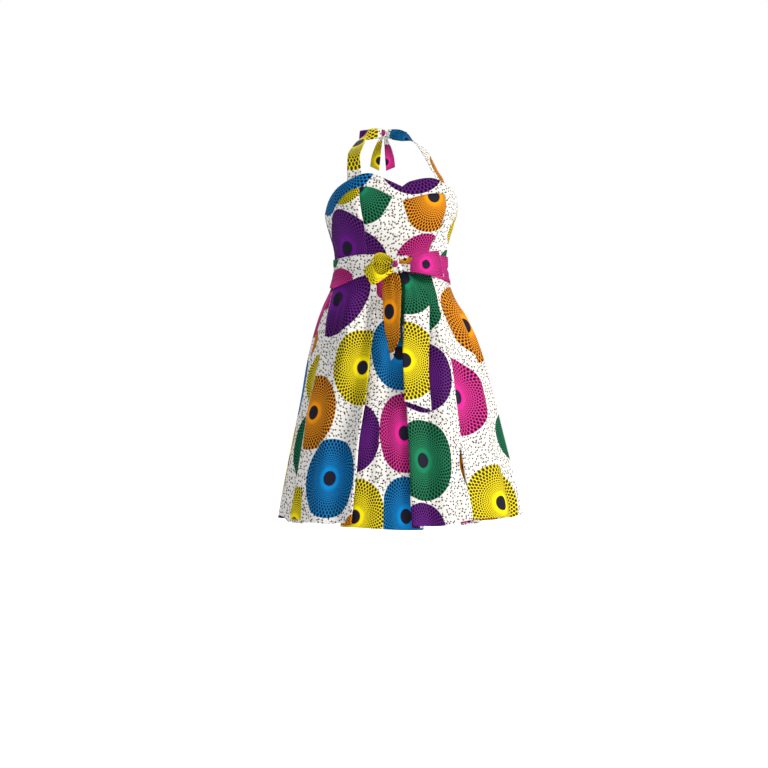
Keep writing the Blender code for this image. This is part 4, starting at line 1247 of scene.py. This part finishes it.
class DRESS_OT_zip(bpy.types.Operator):
    """Set the zip's tape, coil, slider and pull tab into the centre back seam"""
    bl_idname = "dress.zip"
    bl_label = "Zip"

    def execute(self, context):
        spots = []
        rows = 56
        for row in range(rows + 1):
            height = mix(ZIP_BOTTOM, ZIP_TOP, row / rows)
            spread = degrees_of(ZIP_HALF_WIDTH, BACK_SEAM, height)
            line = []
            for column in range(9):
                across = column / 4 - 1
                point = place(BACK_SEAM + spread * across, height, -ZIP_DEPTH)
                line.append(Spot(point, ZIP_HALF_WIDTH * across, height, ZIP_HALF_WIDTH * across, 0))
            spots.append(line)
        tape = shared(zip_tape_material)
        cloth("zip_tapes", spots, (), context.scene.dress_cloth.wall, tape, "zip_tape")
        mesh = bmesh.new()
        count = int((ZIP_TOP - ZIP_BOTTOM) / COIL_PITCH)
        for number in range(count):
            height = mix(ZIP_BOTTOM, ZIP_TOP, number / count)
            made = bmesh.ops.create_uvsphere(mesh, u_segments=8, v_segments=5, radius=1.0)["verts"]
            at = place(BACK_SEAM, height, -ZIP_DEPTH + 1.0)
            shape = Matrix.Translation(at * MM) @ Matrix.Diagonal((0.0019, 0.0008, 0.0009, 1.0))
            bmesh.ops.transform(mesh, matrix=shape, verts=made)
        uv = mesh.loops.layers.uv.new("Cloth")
        for face in mesh.faces:
            for loop in face.loops:
                loop[uv].uv = (loop.vert.co.x, loop.vert.co.z)
        finish("zip_coil", mesh, tape, None)
        metal = shared(zip_metal)
        for node in ("zip_slider", "zip_pull"):
            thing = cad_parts[node]
            thing.data.materials.clear()
            thing.data.materials.append(metal)
        return {"FINISHED"}


# ---------------------------------------------------------------- studio

LENS_SHIFT = 0.0148      # the dress stands this far to the side of the lens's axis
CAMERA_HEIGHT = -0.63
LENS = 68.6
AIM_DEPTH = -0.07


def area_light(name, at, target, size, power, colour):
    """A soft square light that faces a target."""
    data = bpy.data.lights.new(name, "AREA")
    data.size = size
    data.energy = power
    data.color = linear(colour)
    lamp = bpy.data.objects.new(name, data)
    lamp.location = at
    lamp.rotation_euler = (Vector(target) - Vector(at)).to_track_quat("-Z", "Y").to_euler()
    bpy.context.scene.collection.objects.link(lamp)


class DRESS_OT_stage(bpy.types.Operator):
    """Lay the pale floor, and set the lights and the camera"""
    bl_idname = "dress.stage"
    bl_label = "Studio"

    def execute(self, context):
        scene, stage = context.scene, context.scene.dress_stage
        mesh = bmesh.new()
        bmesh.ops.create_grid(mesh, x_segments=8, y_segments=8, size=14.0)
        bmesh.ops.translate(mesh, vec=Vector((0, 6, -stage.floor)), verts=mesh.verts)
        data = bpy.data.meshes.new("studio_floor")
        mesh.to_mesh(data)
        mesh.free()
        material, tree = new_material("Matt white studio paint")
        where = add(tree, "TexCoord").outputs["Object"]
        grain = add(tree, "TexNoise", {"Vector": where, "Scale": 3.0}).outputs[0]
        rough = add(tree, "MapRange", {"Value": grain, "To Min": 0.85, "To Max": 0.95}).outputs[0]
        seen = add(tree, "LightPath").outputs["Is Camera Ray"]
        glow = add(tree, "MapRange", {"Value": seen, "To Max": 0.75}).outputs[0]
        shader = add(tree, "BsdfPrincipled", {"Base Color": (*linear("FBFBFB"), 1.0), "Roughness": rough,
                                              "Emission Color": (1, 1, 1, 1), "Emission Strength": glow})
        add(tree, "OutputMaterial", {"Surface": shader.outputs[0]})
        data.materials.append(material)
        floor = bpy.data.objects.new("studio_floor", data)
        scene.collection.objects.link(floor)

        world = bpy.data.worlds.new("White studio")
        world.use_nodes = True
        world.node_tree.nodes.clear()
        seen = add(world.node_tree, "LightPath").outputs["Is Camera Ray"]
        strength = add(world.node_tree, "MapRange", {"Value": seen, "To Min": stage.fill, "To Max": 1.0})
        sky = add(world.node_tree, "Background", {"Color": (1, 1, 1, 1), "Strength": strength.outputs[0]})
        add(world.node_tree, "OutputWorld", {"Surface": sky.outputs[0]})
        scene.world = world
        target = (0.02, -0.1, -0.55)
        area_light("Key", (2.9, -2.6, 0.8), target, 1.2, stage.key, "FFF9EF")
        area_light("Front fill", (-1.4, -3.4, 0.4), target, 2.0, stage.key * 0.22, "FFFFFF")
        area_light("Floor wash", (0.0, 3.5, 1.6), (0.0, 3.5, -1.5), 5.0, stage.key * 1.6, "FFFFFF")

        ahead = Vector((-math.sin(stage.turn), math.cos(stage.turn), 0))
        beside = Vector((math.cos(stage.turn), math.sin(stage.turn), 0))
        camera = bpy.data.objects.new("Camera", bpy.data.cameras.new("Camera"))
        camera.data.lens = LENS
        camera.data.clip_end = 100.0
        camera.location = Vector((0, AIM_DEPTH,
                                  CAMERA_HEIGHT)) - ahead * stage.distance - beside * LENS_SHIFT
        camera.rotation_euler = (math.radians(90), 0, stage.turn)
        scene.collection.objects.link(camera)
        scene.camera = camera
        scene.view_settings.view_transform = "Standard"
        return {"FINISHED"}


# ---------------------------------------------------------------- add-on

OPERATORS = (DRESS_OT_stage, DRESS_OT_bodice, DRESS_OT_skirt, DRESS_OT_sash, DRESS_OT_bow, DRESS_OT_halter,
             DRESS_OT_zip)


class DRESS_PT_panel(bpy.types.Panel):
    """The pieces of the dress"""
    bl_idname = "DRESS_PT_panel"
    bl_label = "Dress"
    bl_space_type = "VIEW_3D"
    bl_region_type = "UI"
    bl_category = "Dress"

    def draw(self, context):
        for operator in OPERATORS:
            self.layout.operator(operator.bl_idname)
        for group in (context.scene.dress_print, context.scene.dress_cloth, context.scene.dress_stage):
            for name in group.bl_rna.properties.keys():
                if name not in ("rna_type", "name"):
                    self.layout.prop(group, name)


GROUPS = (("dress_print", DressPrint), ("dress_cloth", DressCloth), ("dress_stage", DressStage))


def register():
    """Register the classes and the scene's settings."""
    for name, group in GROUPS:
        bpy.utils.register_class(group)
        setattr(bpy.types.Scene, name, PointerProperty(type=group))
    for item in (*OPERATORS, DRESS_PT_panel):
        bpy.utils.register_class(item)


def unregister():
    """Take the classes and the scene's settings away."""
    for item in (DRESS_PT_panel, *reversed(OPERATORS)):
        bpy.utils.unregister_class(item)
    for name, group in reversed(GROUPS):
        delattr(bpy.types.Scene, name)
        bpy.utils.unregister_class(group)


def main():
    """Build the dress."""
    register()
    bpy.ops.dress.stage()
    bpy.ops.dress.bodice()
    bpy.ops.dress.skirt()
    bpy.ops.dress.sash()
    bpy.ops.dress.bow()
    bpy.ops.dress.halter()
    bpy.ops.dress.zip()
    bpy.context.view_layer.update()


if __name__ == "__main__":
    main()
